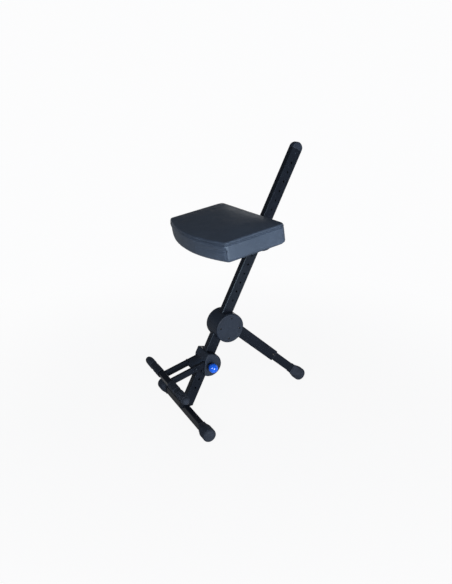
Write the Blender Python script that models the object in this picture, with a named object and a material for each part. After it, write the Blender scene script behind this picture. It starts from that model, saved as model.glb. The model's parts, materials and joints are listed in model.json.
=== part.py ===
"""Keyboard stool with a leaning mast, a sliding seat, a sliding fold-up footrest and a folding rear leg.

The sitter faces -Y, +X is the sitter's left, and the floor is z = 0. The mast is one straight tube that
leans back. Everything on it is placed in the mast's own frame: y behind the mast's centre line, z up along it.
"""

import math

import bmesh
import bpy
from mathutils import Matrix, Vector

# Clearances, in metres
GAP = 0.0003
RUNNING_GAP = 0.0004
OVERRUN = 0.02
FOLD_CLEARANCE = 0.0012

# Mast: a rectangular tube with a row of holes through its sides
MAST_WIDTH = 0.024
MAST_DEPTH = 0.040
TUBE_WALL = 0.0015
TUBE_CORNER = 0.003
MAST_LEAN = math.radians(26.4)
HUB_HEIGHT = 0.3109
MAST_ABOVE_HUB = 0.6367
HOLE_PITCH = 0.0333
HOLE_RADIUS = 0.0035
FIRST_HOLE = 0.090
SEAT_HOLES = range(0, 17)
FOOTREST_HOLES = range(-10, -5)
CAP_PLUG = 0.022
CAP_LIP = 0.0042
CAP_ROUNDING = 0.005
CAP_TURN = math.radians(78)
CAP_CORNER_SHARE = 0.45

# Base: a cross bar on the floor with a rubber boot on each end
BAR_DEPTH = 0.020
BAR_HEIGHT = 0.030
BAR_LENGTH = 0.370
BAR_FORWARD = 0.003
COPE_DEPTH = 0.010
BOOT_RADIUS = 0.0228
BOOT_FLAT = 0.0008
BOOT_SOCKET = 0.050
BOOT_END = 0.0145
BOOT_LIP = 0.0025
BOOT_ROUNDING = 0.008
BOOT_FLARE_SHARE = 0.34
BOOT_SQUARENESS = 6

# Hub: a moulded drum round the mast, with a cover on each side
HUB_RADIUS = 0.052
HUB_HALF_WIDTH = 0.035
HUB_BEHIND = 0.0173
HUB_WALL = 0.004
HUB_WEB = 0.003
COVER_THICKNESS = 0.0045
COVER_RADIUS = 0.0515
COVER_EDGE = 0.0022
COVER_DISH = 0.0008
COVER_BAND_SHARE = 3.0
COVER_STEP_SHARE = 2.4
COVER_BREAK_SHARE = 0.4
SPIGOT_DEPTH = 0.004
SPIGOT_WALL = 0.0025
CLAMP_BOLT_RADIUS = 0.003
CLAMP_BOLT_FORWARD = 0.008
CLAMP_BOLT_SPREAD = 0.030

# Rear leg: an outer tube on two fork plates, with a slimmer tube sliding in it
LEG_DROP = math.radians(48.2)
PIVOT_BEHIND = 0.027
PIVOT_BELOW = 0.0096
LEG_WIDTH = 0.024
LEG_DEPTH = 0.040
LEG_START = 0.006
LEG_TUBE_LENGTH = 0.246
FORK_PLATE = 0.003
FORK_NOSE = 0.012
FORK_REACH = 0.026
AXLE_RADIUS = 0.005
STOP_PIN_RADIUS = 0.0035
STOP_PIN_OUT = 0.012
INNER_WIDTH = 0.017
INNER_DEPTH = 0.032
INNER_CORNER = 0.00225
INNER_INSIDE = 0.100
BUSH_LENGTH = 0.030
BUSH_COLLAR = 0.0015
LEG_BOOT_RADIUS = 0.0245
LEG_BOOT_LENGTH = 0.0675
LEG_BOOT_SOCKET = 0.034
LEG_BOOT_LIP = 0.0015
LEG_BOOT_FLARE_SHARE = 0.6
LEG_BOOT_ROUNDING = 0.009
LEG_SCREW_RADIUS = 0.003
LEG_SCREW_FROM_END = 0.009
LEG_SCREW_ABOVE = 0.003

# Carriage: the same moulding carries the footrest and the seat
CHEEK_RADIUS = 0.041
CHEEK_BEHIND = 0.0025
CHEEK_EDGE = 0.003
CARRIAGE_HALF_WIDTH = 0.040
CARRIAGE_WALL = 0.004
LIP_FRONT = 0.025
LIP_TOP = 0.036
LIP_LOW = 0.0105
BROW_FRONT = 0.014
BROW_LOW = 0.019
CHEEK_ARC_START = math.radians(-98)
CHEEK_ARC_END = math.radians(106)
CORE_LOW = 0.024
LUG_FORWARD = 0.042
LUG_BELOW = 0.0274
LUG_RADIUS = 0.010
LUG_LENGTH = 0.032
LEG_NEST = 0.001
FOOTREST_HOLE = -7
SEAT_HOLE = 7

# Footrest: two arms on the lug and a cross bar with rubber sleeves
ARM_SLOPE = math.radians(15.0)
ARM_INSIDE = 0.0224
ARM_WIDTH = 0.012
ARM_HEIGHT = 0.0215
ARM_TAIL = 0.038
ARM_REACH = 0.1003
ARM_CORNER = 0.002
CROSSBAR_DEPTH = 0.020
CROSSBAR_HEIGHT = 0.021
CROSSBAR_CORNER = 0.003
CROSSBAR_LENGTH = 0.270
SLEEVE_START = 0.042
SLEEVE_LENGTH = 0.1265
SLEEVE_COLLAR = 0.050
SLEEVE_WALL = 0.002
SLEEVE_STEP = 0.001
SLEEVE_TIP = 0.0115
SLEEVE_TIP_DRAW_IN = 0.0085
SLEEVE_CORNER = 0.0075
SLEEVE_ROUND_SHARE = 0.95
RIB_HEIGHT = 0.0008
RIB_PITCH = 0.009
RIB_COUNT = 5
RIB_TOP_SHARE = 0.3
RIB_END_SHARE = 0.6
HINGE_BOLT_RADIUS = 0.004

# Lock pin: a sprung steel pin with a ball knob on the +X side of each carriage
PIN_RADIUS = 0.003
BALL_RADIUS = 0.0165
BALL_OUT = 0.063
NECK_RADIUS = 0.0065
PIN_IN_BALL = 0.008
BUSHING_RADIUS = 0.0072
BUSHING_FLANGE = 0.009
BUSHING_FLANGE_THICKNESS = 0.002
BUSHING_LENGTH = 0.0065
SPRING_LENGTH = 0.0085
SPRING_WIRE = 0.0006
SPRING_TURNS = 4
SPRING_POINTS = 10

# Seat: a bracket on the lug, a board and a crowned cushion
SEAT_TILT = math.radians(10.0)
SEAT_SET_BACK = 0.0869
SEAT_RISE = 0.0275
CUSHION_HALF_WIDTH = 0.1995
CUSHION_LENGTH = 0.2516
CUSHION_BOW = 0.0386
CUSHION_RIM = 0.0615
CUSHION_CROWN = 0.006
CUSHION_CORNER = 0.020
CUSHION_DRAW_IN = 0.0035
CUSHION_TOP_EDGE = 0.005
CUSHION_LEVELS = ((0.0, 1.0), (0.06, 0.5), (0.3, 0.1), (0.62, 0.0), (0.88, 0.2))
CUSHION_CROWN_LEVELS = (0.88, 0.7, 0.48, 0.24)
CUSHION_CROWN_FALL = 0.8
CUSHION_BACK_SHARES = (-0.6, -0.2, 0.2, 0.6)
BOARD_INSET = 0.010
BOARD_THICKNESS = 0.010
BRACKET_THICKNESS = 0.003
BRACKET_REAR = 0.104
BRACKET_FRONT = -0.070
BRACKET_FRONT_DEPTH = 0.016
BRACKET_NOSE = 0.012
BRACKET_BOLT_SPACING = 0.017
SEAT_SCREW_RADIUS = 0.003
SEAT_SCREW_SIDE = 0.014
SEAT_SCREW_FRONT = -0.050
SEAT_SCREW_REAR = 0.052
SEAT_SCREW_BITE = 0.0075
SEAT_SCREW_FACE_SHARE = 0.8
SEAT_SCREW_EDGE_SHARE = 0.5

# Fasteners
HEAD_HEIGHT_SHARE = 1.1
HEAD_RADIUS_SHARE = 1.75
HEAD_EDGE_SHARE = 0.6
HEAD_FACE_SHARE = 0.7
NUT_RADIUS_SHARE = 1.9
NUT_HEIGHT_SHARE = 1.6

# Counts of facets
ROUND = 40
SMALL_ROUND = 14
HOLE_ROUND = 8
BOOT_POINTS = 24
CORNER_POINTS = 4
CHEEK_POINTS = 26
LUG_POINTS = 10
SLOT_POINTS = 14
FORK_POINTS = 20
KNOB_ROUND = 20
KNOB_POINTS = 11
CAP_RINGS = 6
SLEEVE_POINTS = 3
CUSHION_CORNER_POINTS = 5
CUSHION_FRONT_POINTS = 9
CUSHION_SIDE_POINTS = 4

MAST_DIRECTION_Y = math.sin(MAST_LEAN)
MAST_DIRECTION_Z = math.cos(MAST_LEAN)
BAR_CENTRE_HEIGHT = BOOT_RADIUS - BOOT_FLAT
CHANNEL_HALF = MAST_WIDTH / 2 + GAP + FORK_PLATE + GAP
LEG_OFFSET = MAST_DEPTH / 2 + GAP + CARRIAGE_WALL + FOLD_CLEARANCE + LEG_DEPTH / 2 - PIVOT_BEHIND
CORE_HALF_WIDTH = ARM_INSIDE - GAP
SLOT_OUTSIDE = ARM_INSIDE + ARM_WIDTH + GAP
LUG_ANGLE = ARM_SLOPE + MAST_LEAN
SEAT_ANGLE = SEAT_TILT + MAST_LEAN


def clear_scene():
    """Empties the scene without resetting Blender."""
    for item in list(bpy.data.objects):
        bpy.data.objects.remove(item, do_unlink=True)
    for mesh in list(bpy.data.meshes):
        bpy.data.meshes.remove(mesh)
    for material in list(bpy.data.materials):
        bpy.data.materials.remove(material)


def principled(name, colour, roughness, metallic=0.0):
    """Returns one plain Principled material."""
    material = bpy.data.materials.new(name)
    material.use_nodes = True
    shader = material.node_tree.nodes["Principled BSDF"]
    shader.inputs["Base Color"].default_value = (*colour, 1.0)
    shader.inputs["Roughness"].default_value = roughness
    shader.inputs["Metallic"].default_value = metallic
    return material


def make_materials():
    """Makes the stool's materials: coated steel, moulded plastic, rubber, vinyl, the ball and bare steel."""
    return {
        "coated": principled("coated_steel", (0.018, 0.020, 0.024), 0.42, 0.3),
        "plastic": principled("black_plastic", (0.020, 0.021, 0.024), 0.5),
        "rubber": principled("black_rubber", (0.022, 0.022, 0.024), 0.75),
        "vinyl": principled("black_vinyl", (0.015, 0.016, 0.019), 0.38),
        "blue": principled("blue_knob", (0.02, 0.11, 0.62), 0.18),
        "zinc": principled("zinc_steel", (0.55, 0.56, 0.58), 0.35, 1.0),
        "board": principled("seat_board", (0.42, 0.29, 0.17), 0.7),
    }


def empty(name, parent=None, location=(0, 0, 0), turn_x=0.0):
    """Adds an empty that carries pieces; turn_x is its rotation about X."""
    holder = bpy.data.objects.new(name, None)
    bpy.context.collection.objects.link(holder)
    holder.parent = parent
    holder.location = location
    holder.rotation_euler = (turn_x, 0, 0)
    return holder


def finish(name, bm, parent, material=None, smooth_angle=35):
    """Turns a bmesh into a named object under its parent."""
    bmesh.ops.remove_doubles(bm, verts=bm.verts, dist=1e-7)
    bmesh.ops.recalc_face_normals(bm, faces=bm.faces)
    mesh = bpy.data.meshes.new(name)
    bm.to_mesh(mesh)
    bm.free()
    item = bpy.data.objects.new(name, mesh)
    bpy.context.collection.objects.link(item)
    item.parent = parent
    if material:
        mesh.materials.append(material)
    mesh.shade_smooth()
    mesh.set_sharp_from_angle(angle=math.radians(smooth_angle))
    return item


def guide(item):
    """Marks an object as a cutter or a joined form, which is not a piece of the stool."""
    item.hide_render = True
    item.display_type = "WIRE"
    return item


def boolean(item, other, operation):
    modifier = item.modifiers.new(operation.title(), "BOOLEAN")
    modifier.object = guide(other)
    modifier.operation = operation
    modifier.solver = "EXACT"


def cut(item, *cutters):
    for cutter in cutters:
        boolean(item, cutter, "DIFFERENCE")


def fuse(item, *others):
    for other in others:
        boolean(item, other, "UNION")


def bevel(item, width, segments=2, angle=40):
    modifier = item.modifiers.new("Bevel", "BEVEL")
    modifier.width = width
    modifier.segments = segments
    modifier.limit_method = "ANGLE"
    modifier.angle_limit = math.radians(angle)


def axis_matrix(axis):
    """Maps an outline's plane and its extrusion direction (local Z) onto the given axis."""
    if axis == "X":
        return Matrix(((0, 0, 1), (1, 0, 0), (0, 1, 0))).to_4x4()
    if axis == "Y":
        return Matrix(((1, 0, 0), (0, 0, 1), (0, 1, 0))).to_4x4()
    return Matrix.Identity(4)


def prism_mesh(outline, low, high, axis="Z", bm=None):
    """Extrudes a closed outline: along X the outline is (y, z), along Y it is (x, z) and along Z (x, y)."""
    bm = bmesh.new() if bm is None else bm
    turn = axis_matrix(axis)
    corners = [bm.verts.new(turn @ Vector((a, b, low))) for a, b in outline]
    face = bm.faces.new(corners)
    grown = bmesh.ops.extrude_face_region(bm, geom=[face])
    moved = [v for v in grown["geom"] if isinstance(v, bmesh.types.BMVert)]
    bmesh.ops.translate(bm, verts=moved, vec=turn @ Vector((0, 0, high - low)))
    return bm


def prism(name, outline, low, high, parent, material=None, axis="Z"):
    return finish(name, prism_mesh(outline, low, high, axis), parent, material)


def box(name, x_range, y_range, z_range, parent, material=None):
    (left, right), (front, rear) = x_range, y_range
    outline = [(left, front), (right, front), (right, rear), (left, rear)]
    return prism(name, outline, z_range[0], z_range[1], parent, material)


def arc(centre, radius, start, end, count):
    """Points along an arc, ends included."""
    steps = [start + (end - start) * i / count for i in range(count + 1)]
    return [(centre[0] + radius * math.cos(a), centre[1] + radius * math.sin(a)) for a in steps]


def circle(centre, radius, count):
    return arc(centre, radius, 0, 2 * math.pi, count)[:-1]


def rounded_rectangle(width, depth, radius, points=CORNER_POINTS):
    """The outline of a tube or a bar, centred on the origin."""
    outline = []
    for i, (sx, sy) in enumerate(((1, 1), (-1, 1), (-1, -1), (1, -1))):
        centre = (sx * (width / 2 - radius), sy * (depth / 2 - radius))
        outline += arc(centre, radius, i * math.pi / 2, (i + 1) * math.pi / 2, points)
    return outline


def skin_mesh(rings, round_again=False):
    """Skins rings of equal count, closed at both ends or from the last ring round to the first again."""
    bm = bmesh.new()
    loops = [[bm.verts.new(point) for point in ring] for ring in rings]
    pairs = list(zip(loops, loops[1:]))
    if round_again:
        pairs.append((loops[-1], loops[0]))
    else:
        bm.faces.new(loops[0])
        bm.faces.new(loops[-1])
    for low, high in pairs:
        for i in range(len(low)):
            bm.faces.new((low[i - 1], low[i], high[i], high[i - 1]))
    return bm


def tube(name, width, depth, wall, corner, low, high, parent, material, axis="Z"):
    """A rectangular tube, open at both ends, along the given axis."""
    turn = axis_matrix(axis)
    outer = rounded_rectangle(width, depth, corner)
    inner = rounded_rectangle(width - 2 * wall, depth - 2 * wall, max(corner - wall, wall / 2))
    rings = [[turn @ Vector((a, b, end)) for a, b in ring]
             for ring, end in ((outer, low), (outer, high), (inner, high), (inner, low))]
    return finish(name, skin_mesh(rings, True), parent, material)


def turned(name, profile, parent, material=None, centre=(0, 0), count=SMALL_ROUND):
    """Spins a profile of (x, radius) points about an X axis through centre (y, z)."""
    bm = bmesh.new()
    corners = [bm.verts.new((x, centre[0], centre[1] + radius)) for x, radius in profile]
    edges = [bm.edges.new(pair) for pair in zip(corners, corners[1:])]
    if profile[0][1] > 0 and profile[-1][1] > 0:
        edges.append(bm.edges.new((corners[-1], corners[0])))
    bmesh.ops.spin(bm, geom=corners + edges, cent=(0, centre[0], centre[1]), axis=(1, 0, 0),
                   angle=2 * math.pi, steps=count, use_merge=True)
    return finish(name, bm, parent, material)


def rod(name, radius, low, high, parent, material=None, centre=(0, 0), count=SMALL_ROUND):
    return turned(name, [(low, 0), (low, radius), (high, radius), (high, 0)], parent, material, centre, count)


def bolt(name, radius, low, high, parent, material, centre):
    """A bolt along X: its head starts at high, and its shank ends at low."""
    head = radius * HEAD_RADIUS_SHARE
    height = radius * HEAD_HEIGHT_SHARE
    profile = [(low, 0), (low, radius), (high, radius), (high, head), (high + height * HEAD_EDGE_SHARE, head),
               (high + height, head * HEAD_FACE_SHARE), (high + height, 0)]
    return turned(name, profile, parent, material, centre)


def nut(name, radius, low, parent, material, centre):
    """A hexagon nut on an X axis, whose inner face is at low and which grows towards -X."""
    across = radius * NUT_RADIUS_SHARE
    bore = radius + GAP
    high = low - radius * NUT_HEIGHT_SHARE
    corners = circle(centre, across, 6)
    outer = []
    for first, second in zip(corners, corners[1:] + corners[:1]):
        outer += [first, ((first[0] + second[0]) / 2, (first[1] + second[1]) / 2)]
    inner = circle(centre, bore, len(outer))
    rings = [[(x, y, z) for y, z in ring]
             for x, ring in ((low, outer), (high, outer), (high, inner), (low, inner))]
    return finish(name, skin_mesh(rings, True), parent, material)


def hole_z(item, name, radius, low, high, parent, centre):
    """Cuts a round hole along Z."""
    cut(item, prism(name, circle(centre, radius, SMALL_ROUND), low, high, parent))


def hole_x(item, name, radius, low, high, parent, centre):
    """Cuts a round hole along X."""
    cut(item, prism(name, circle(centre, radius, SMALL_ROUND), low, high, parent, axis="X"))


def mast_hole_height(index):
    return FIRST_HOLE + index * HOLE_PITCH


def make_mast(stool, mast, materials):
    """The mast tube with its holes, coped over the base bar, and the cap on its top."""
    foot = -(HUB_HEIGHT - BAR_CENTRE_HEIGHT) / MAST_DIRECTION_Z
    item = tube("mast_tube", MAST_WIDTH, MAST_DEPTH, TUBE_WALL, TUBE_CORNER, foot - MAST_DEPTH,
                MAST_ABOVE_HUB, mast, materials["coated"])
    bm = bmesh.new()
    for index in list(SEAT_HOLES) + list(FOOTREST_HOLES):
        hole = circle((0, mast_hole_height(index)), HOLE_RADIUS, HOLE_ROUND)
        prism_mesh(hole, -MAST_WIDTH, MAST_WIDTH, "X", bm)
    for side in (-1, 1):
        centre = (-CLAMP_BOLT_FORWARD, side * CLAMP_BOLT_SPREAD)
        prism_mesh(circle(centre, CLAMP_BOLT_RADIUS + GAP, SMALL_ROUND), -MAST_WIDTH, MAST_WIDTH, "X", bm)
    cut(item, finish("mast_hole_cutter", bm, mast))
    bar_y = bar_centre_y()
    half = BAR_DEPTH / 2 + GAP
    top = BAR_CENTRE_HEIGHT + BAR_HEIGHT / 2
    cut(item, box("mast_bar_cutter", (-MAST_DEPTH, MAST_DEPTH), (bar_y - half, bar_y + half),
                  (-MAST_DEPTH, top + GAP), stool))
    around = 3 * MAST_DEPTH
    cut(item, box("mast_floor_cutter", (-MAST_DEPTH, MAST_DEPTH), (bar_y - around, bar_y + around),
                  (-around, top - COPE_DEPTH), stool))

    inset = TUBE_WALL + GAP
    seat = MAST_ABOVE_HUB + GAP
    plug = rounded_rectangle(MAST_WIDTH - 2 * inset, MAST_DEPTH - 2 * inset, TUBE_WALL)
    rings = [[(x, y, seat - CAP_PLUG) for x, y in plug], [(x, y, seat) for x, y in plug]]
    rings.append([(x, y, seat) for x, y in rounded_rectangle(MAST_WIDTH, MAST_DEPTH, TUBE_CORNER)])
    for i in range(CAP_RINGS):
        turn = CAP_TURN * i / (CAP_RINGS - 1)
        wide = MAST_WIDTH - 2 * CAP_ROUNDING * (1 - math.cos(turn))
        deep = MAST_DEPTH * math.cos(turn)
        dome = rounded_rectangle(wide, deep, min(TUBE_CORNER, deep * CAP_CORNER_SHARE))
        rings.append([(x, y, seat + CAP_LIP + MAST_DEPTH / 2 * math.sin(turn)) for x, y in dome])
    finish("mast_cap", skin_mesh(rings), mast, materials["plastic"])


def bar_centre_y():
    """The bar sits on the mast's centre line, a little forward."""
    return -(HUB_HEIGHT - BAR_CENTRE_HEIGHT) * math.tan(MAST_LEAN) - BAR_FORWARD


def boot_section(width, height, corner, radius, blend, count=BOOT_POINTS):
    """A section between the rounded rectangle of a bar and a circle, as (a, b) points at equal angles."""
    points = []
    for i in range(count):
        angle = 2 * math.pi * (i + 0.5) / count
        c, s = math.cos(angle), math.sin(angle)
        squared = abs(2 * c / width) ** BOOT_SQUARENESS + abs(2 * s / height) ** BOOT_SQUARENESS
        reach = squared ** (-1 / BOOT_SQUARENESS)
        reach = min(reach, math.hypot(width, height) / 2 - corner)
        reach = reach + (radius - reach) * blend
        points.append((reach * c, reach * s))
    return points


def boot_profile(length, flare, radius, rounding):
    """Stations along a boot: (distance, blend from bar section to round, shrink at the rounded end)."""
    stations = [(0, 0, 0)]
    for i in range(1, 5):
        t = i / 4
        stations.append((flare * t, t * t * (3 - 2 * t), 0))
    for i in range(5):
        a = math.pi / 2 * i / 4
        stations.append((length - rounding + rounding * math.sin(a), 1, rounding * (1 - math.cos(a))))
    return stations


def make_base(stool, materials):
    """The cross bar and its two boots, with soles flat on the floor."""
    centre_y = bar_centre_y()
    base = empty("base_frame", stool, (0, centre_y, BAR_CENTRE_HEIGHT))
    half = BAR_LENGTH / 2
    tube("base_bar", BAR_DEPTH, BAR_HEIGHT, TUBE_WALL, TUBE_CORNER, -half, half, base, materials["coated"], "X")
    length = BOOT_SOCKET + BOOT_END
    flare = length * BOOT_FLARE_SHARE
    neck_width = BAR_DEPTH + 2 * BOOT_LIP
    neck_height = BAR_HEIGHT + 2 * BOOT_LIP
    for side, word in ((1, "left"), (-1, "right")):
        rings = []
        for distance, blend, shrink in boot_profile(length, flare, BOOT_RADIUS, BOOT_ROUNDING):
            section = boot_section(neck_width, neck_height, BOOT_LIP, BOOT_RADIUS, blend)
            scale = 1 - shrink / BOOT_RADIUS
            x = side * (half - BOOT_SOCKET + distance)
            rings.append([(x, a * scale, max(b * scale, -BAR_CENTRE_HEIGHT)) for a, b in section])
        boot = finish(f"base_boot_{word}", skin_mesh(rings), base, materials["rubber"])
        socket = prism(f"base_boot_{word}_socket",
                       rounded_rectangle(BAR_DEPTH + 2 * GAP, BAR_HEIGHT + 2 * GAP, TUBE_CORNER + GAP),
                       -OVERRUN, BOOT_SOCKET + GAP, base, axis="X")
        if side < 0:
            socket.rotation_euler = (0, 0, math.pi)
        socket.location = (side * (half - BOOT_SOCKET), 0, 0)
        cut(boot, socket)


def leg_axes():
    """The leg's direction and its upper side in the mast's (y, z)."""
    turn = math.pi - LEG_DROP - MAST_LEAN
    along = Vector((math.sin(turn), math.cos(turn)))
    upper = Vector((-along.y, along.x))
    return along, upper


def rim_angle(start, direction, centre, radius):
    """The angle at which a line that starts inside a circle leaves it."""
    offset = start - Vector(centre)
    along = offset.dot(direction)
    reach = -along + math.sqrt(along ** 2 - offset.length_squared + radius ** 2)
    exit_point = offset + direction * reach
    return math.atan2(exit_point.y, exit_point.x)


def make_hub(mast, materials):
    """The drum with its side pockets, the mast's slot and the opening that the leg sweeps."""
    centre = (HUB_BEHIND, 0)
    pivot = Vector((PIVOT_BEHIND, -PIVOT_BELOW))
    along, upper = leg_axes()
    inside = HUB_RADIUS - HUB_WALL
    web_outside = CHANNEL_HALF + HUB_WEB
    edge = COVER_EDGE / 2
    drum = turned("hub_housing", [
        (-HUB_HALF_WIDTH, 0), (-HUB_HALF_WIDTH, HUB_RADIUS - edge), (-HUB_HALF_WIDTH + edge, HUB_RADIUS),
        (HUB_HALF_WIDTH - edge, HUB_RADIUS), (HUB_HALF_WIDTH, HUB_RADIUS - edge), (HUB_HALF_WIDTH, 0)],
        mast, materials["plastic"], centre, ROUND)
    for side in (-1, 1):
        low, high = sorted((side * web_outside, side * (HUB_HALF_WIDTH + OVERRUN)))
        cut(drum, rod(f"hub_pocket_{side + 1}", inside, low, high, mast, None, centre, ROUND))
    cut(drum, box("hub_mast_slot", (-MAST_WIDTH / 2 - GAP, MAST_WIDTH / 2 + GAP),
                  (-MAST_DEPTH / 2 - GAP, MAST_DEPTH / 2 + GAP), (-2 * HUB_RADIUS, 2 * HUB_RADIUS), mast))
    # The channel between the webs is open where the leg sweeps from its working angle to the folded one
    far = 3 * HUB_RADIUS
    working = pivot + upper * (LEG_OFFSET + LEG_DEPTH / 2 + RUNNING_GAP)
    folded = Vector((PIVOT_BEHIND + LEG_OFFSET - LEG_DEPTH / 2 - RUNNING_GAP, -PIVOT_BELOW))
    start = rim_angle(working, along, centre, inside)
    end = rim_angle(folded, Vector((0, -1)), centre, inside) + 2 * math.pi
    channel = arc(centre, inside, start, end, ROUND * 2 // 3)
    channel += [(folded.x, -far), (far, -far), tuple(working + along * far)]
    cut(drum, prism("hub_channel", channel, -CHANNEL_HALF, CHANNEL_HALF, mast, axis="X"))

    stop = pivot + along * STOP_PIN_OUT + upper * (LEG_OFFSET + LEG_DEPTH / 2 + GAP + STOP_PIN_RADIUS)
    clamps = [(-CLAMP_BOLT_FORWARD, side * CLAMP_BOLT_SPREAD) for side in (1, -1)]
    bm = bmesh.new()
    holes = [(tuple(pivot), AXLE_RADIUS), (tuple(stop), STOP_PIN_RADIUS)]
    holes += [(place, CLAMP_BOLT_RADIUS) for place in clamps]
    for place, radius in holes:
        prism_mesh(circle(place, radius + GAP, SMALL_ROUND), -HUB_HALF_WIDTH, HUB_HALF_WIDTH, "X", bm)
    cut(drum, finish("hub_web_holes", bm, mast))

    reach = web_outside + GAP
    steel = materials["zinc"]
    bolt("hub_axle_bolt", AXLE_RADIUS, -reach - AXLE_RADIUS * 2, reach, mast, steel, tuple(pivot))
    nut("hub_axle_nut", AXLE_RADIUS, -reach, mast, steel, tuple(pivot))
    pin_end = reach + STOP_PIN_RADIUS
    rod("leg_stop_pin", STOP_PIN_RADIUS, -pin_end, pin_end, mast, steel, tuple(stop))
    bolt_end = -reach - CLAMP_BOLT_RADIUS * 2
    for place, word in zip(clamps, ("upper", "lower")):
        bolt(f"hub_clamp_bolt_{word}", CLAMP_BOLT_RADIUS, bolt_end, reach, mast, steel, place)
        nut(f"hub_clamp_nut_{word}", CLAMP_BOLT_RADIUS, -reach, mast, steel, place)

    face = HUB_HALF_WIDTH + GAP
    outer = face + COVER_THICKNESS
    spigot = inside - GAP
    for side, word in ((1, "left"), (-1, "right")):
        profile = [(outer - COVER_DISH, 0), (outer - COVER_DISH, COVER_RADIUS - COVER_EDGE * COVER_BAND_SHARE),
                   (outer, COVER_RADIUS - COVER_EDGE * COVER_STEP_SHARE), (outer, COVER_RADIUS - COVER_EDGE),
                   (outer - COVER_EDGE * COVER_BREAK_SHARE, COVER_RADIUS - COVER_EDGE * COVER_BREAK_SHARE),
                   (outer - COVER_EDGE, COVER_RADIUS), (face, COVER_RADIUS), (face, spigot),
                   (face - SPIGOT_DEPTH, spigot), (face - SPIGOT_DEPTH, spigot - SPIGOT_WALL),
                   (face, spigot - SPIGOT_WALL), (face, 0)]
        mirrored = [(side * x, radius) for x, radius in profile]
        turned(f"hub_cover_{word}", mirrored, mast, materials["plastic"], centre, ROUND)


def make_leg(mast, materials):
    """The folding leg: fork plates, outer tube, bush, lock screw, inner tube and boot."""
    along, upper = leg_axes()
    hinge = empty("leg_hinge", mast, (0, PIVOT_BEHIND, -PIVOT_BELOW), -(math.pi - LEG_DROP - MAST_LEAN))
    # In the hinge's frame z runs along the leg and -y is the leg's upper side
    axis_y = -LEG_OFFSET
    end = LEG_START + LEG_TUBE_LENGTH
    carrier = empty("leg_axis", hinge, (0, axis_y, 0))
    outer = tube("leg_outer_tube", LEG_WIDTH, LEG_DEPTH, TUBE_WALL, TUBE_CORNER, LEG_START, end, carrier,
                 materials["coated"])
    inside = LEG_WIDTH / 2 + GAP
    top = axis_y - LEG_DEPTH / 2 + TUBE_CORNER
    low_side = axis_y + LEG_DEPTH / 2 - TUBE_CORNER
    plate = convex(circle((0, 0), FORK_NOSE, FORK_POINTS)
                   + [(top, LEG_START + TUBE_CORNER), (top, FORK_REACH), (low_side, FORK_REACH)])
    for side, word in ((1, "left"), (-1, "right")):
        low, high = sorted((side * inside, side * (inside + FORK_PLATE)))
        fork = prism(f"leg_fork_{word}", plate, low, high, hinge, materials["coated"], "X")
        hole_x(fork, f"leg_fork_{word}_hole", AXLE_RADIUS + GAP, low - OVERRUN, high + OVERRUN, hinge, (0, 0))

    bush_wide = LEG_WIDTH - 2 * TUBE_WALL - 2 * GAP
    bush_deep = LEG_DEPTH - 2 * TUBE_WALL - 2 * GAP
    bush = prism("leg_bush", rounded_rectangle(bush_wide, bush_deep, TUBE_WALL), end - BUSH_LENGTH,
                 end + GAP + BUSH_COLLAR, carrier, materials["plastic"])
    collar = prism("leg_bush_collar", rounded_rectangle(LEG_WIDTH - 2 * GAP, LEG_DEPTH - 2 * GAP, TUBE_CORNER),
                   end + GAP, end + GAP + BUSH_COLLAR, carrier)
    fuse(bush, collar)
    bore = rounded_rectangle(INNER_WIDTH + 2 * RUNNING_GAP, INNER_DEPTH + 2 * RUNNING_GAP,
                             TUBE_WALL + RUNNING_GAP)
    cut(bush, prism("leg_bush_bore", bore, end - BUSH_LENGTH - OVERRUN, end + OVERRUN, carrier))
    screw_place = (-LEG_SCREW_ABOVE, end - LEG_SCREW_FROM_END)
    tip = INNER_WIDTH / 2 + GAP
    for item, word in ((outer, "tube"), (bush, "bush")):
        hole_x(item, f"leg_screw_hole_{word}", LEG_SCREW_RADIUS + GAP, tip, LEG_WIDTH, carrier, screw_place)
    bolt("leg_lock_screw", LEG_SCREW_RADIUS, tip, LEG_WIDTH / 2 + GAP, carrier, materials["zinc"], screw_place)

    extension = empty("leg_extension", carrier)
    pivot_height = HUB_HEIGHT - PIVOT_BEHIND * MAST_DIRECTION_Y - PIVOT_BELOW * MAST_DIRECTION_Z
    axis_height = pivot_height + LEG_OFFSET * math.sin(LEG_DROP)
    sine, cosine = math.sin(LEG_DROP), math.cos(LEG_DROP)
    boot_drop = (LEG_BOOT_RADIUS - LEG_BOOT_ROUNDING) * sine + LEG_BOOT_ROUNDING
    boot_end = LEG_BOOT_ROUNDING + (axis_height - boot_drop + BOOT_FLAT) / cosine
    wrist = boot_end - LEG_BOOT_LENGTH
    inner_end = wrist + LEG_BOOT_SOCKET
    tube("leg_inner_tube", INNER_WIDTH, INNER_DEPTH, TUBE_WALL, INNER_CORNER, end - INNER_INSIDE, inner_end,
         extension, materials["coated"])
    rings = []
    flare = LEG_BOOT_LENGTH * LEG_BOOT_FLARE_SHARE
    neck_width = INNER_WIDTH + 2 * BOOT_LIP
    neck_height = INNER_DEPTH + 2 * LEG_BOOT_LIP
    for distance, blend, shrink in boot_profile(LEG_BOOT_LENGTH, flare, LEG_BOOT_RADIUS, LEG_BOOT_ROUNDING):
        section = boot_section(neck_width, neck_height, BOOT_LIP, LEG_BOOT_RADIUS, blend)
        scale = 1 - shrink / LEG_BOOT_RADIUS
        ring = []
        for a, b in section:
            s, y = wrist + distance, b * scale
            height = axis_height - s * cosine - y * sine
            if height < 0:
                s += height * cosine
                y += height * sine
            ring.append((a * scale, y, s))
        rings.append(ring)
    boot = finish("leg_boot", skin_mesh(rings), extension, materials["rubber"])
    socket = rounded_rectangle(INNER_WIDTH + 2 * GAP, INNER_DEPTH + 2 * GAP, INNER_CORNER)
    cut(boot, prism("leg_boot_socket", socket, wrist - OVERRUN, inner_end + GAP, extension))


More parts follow.
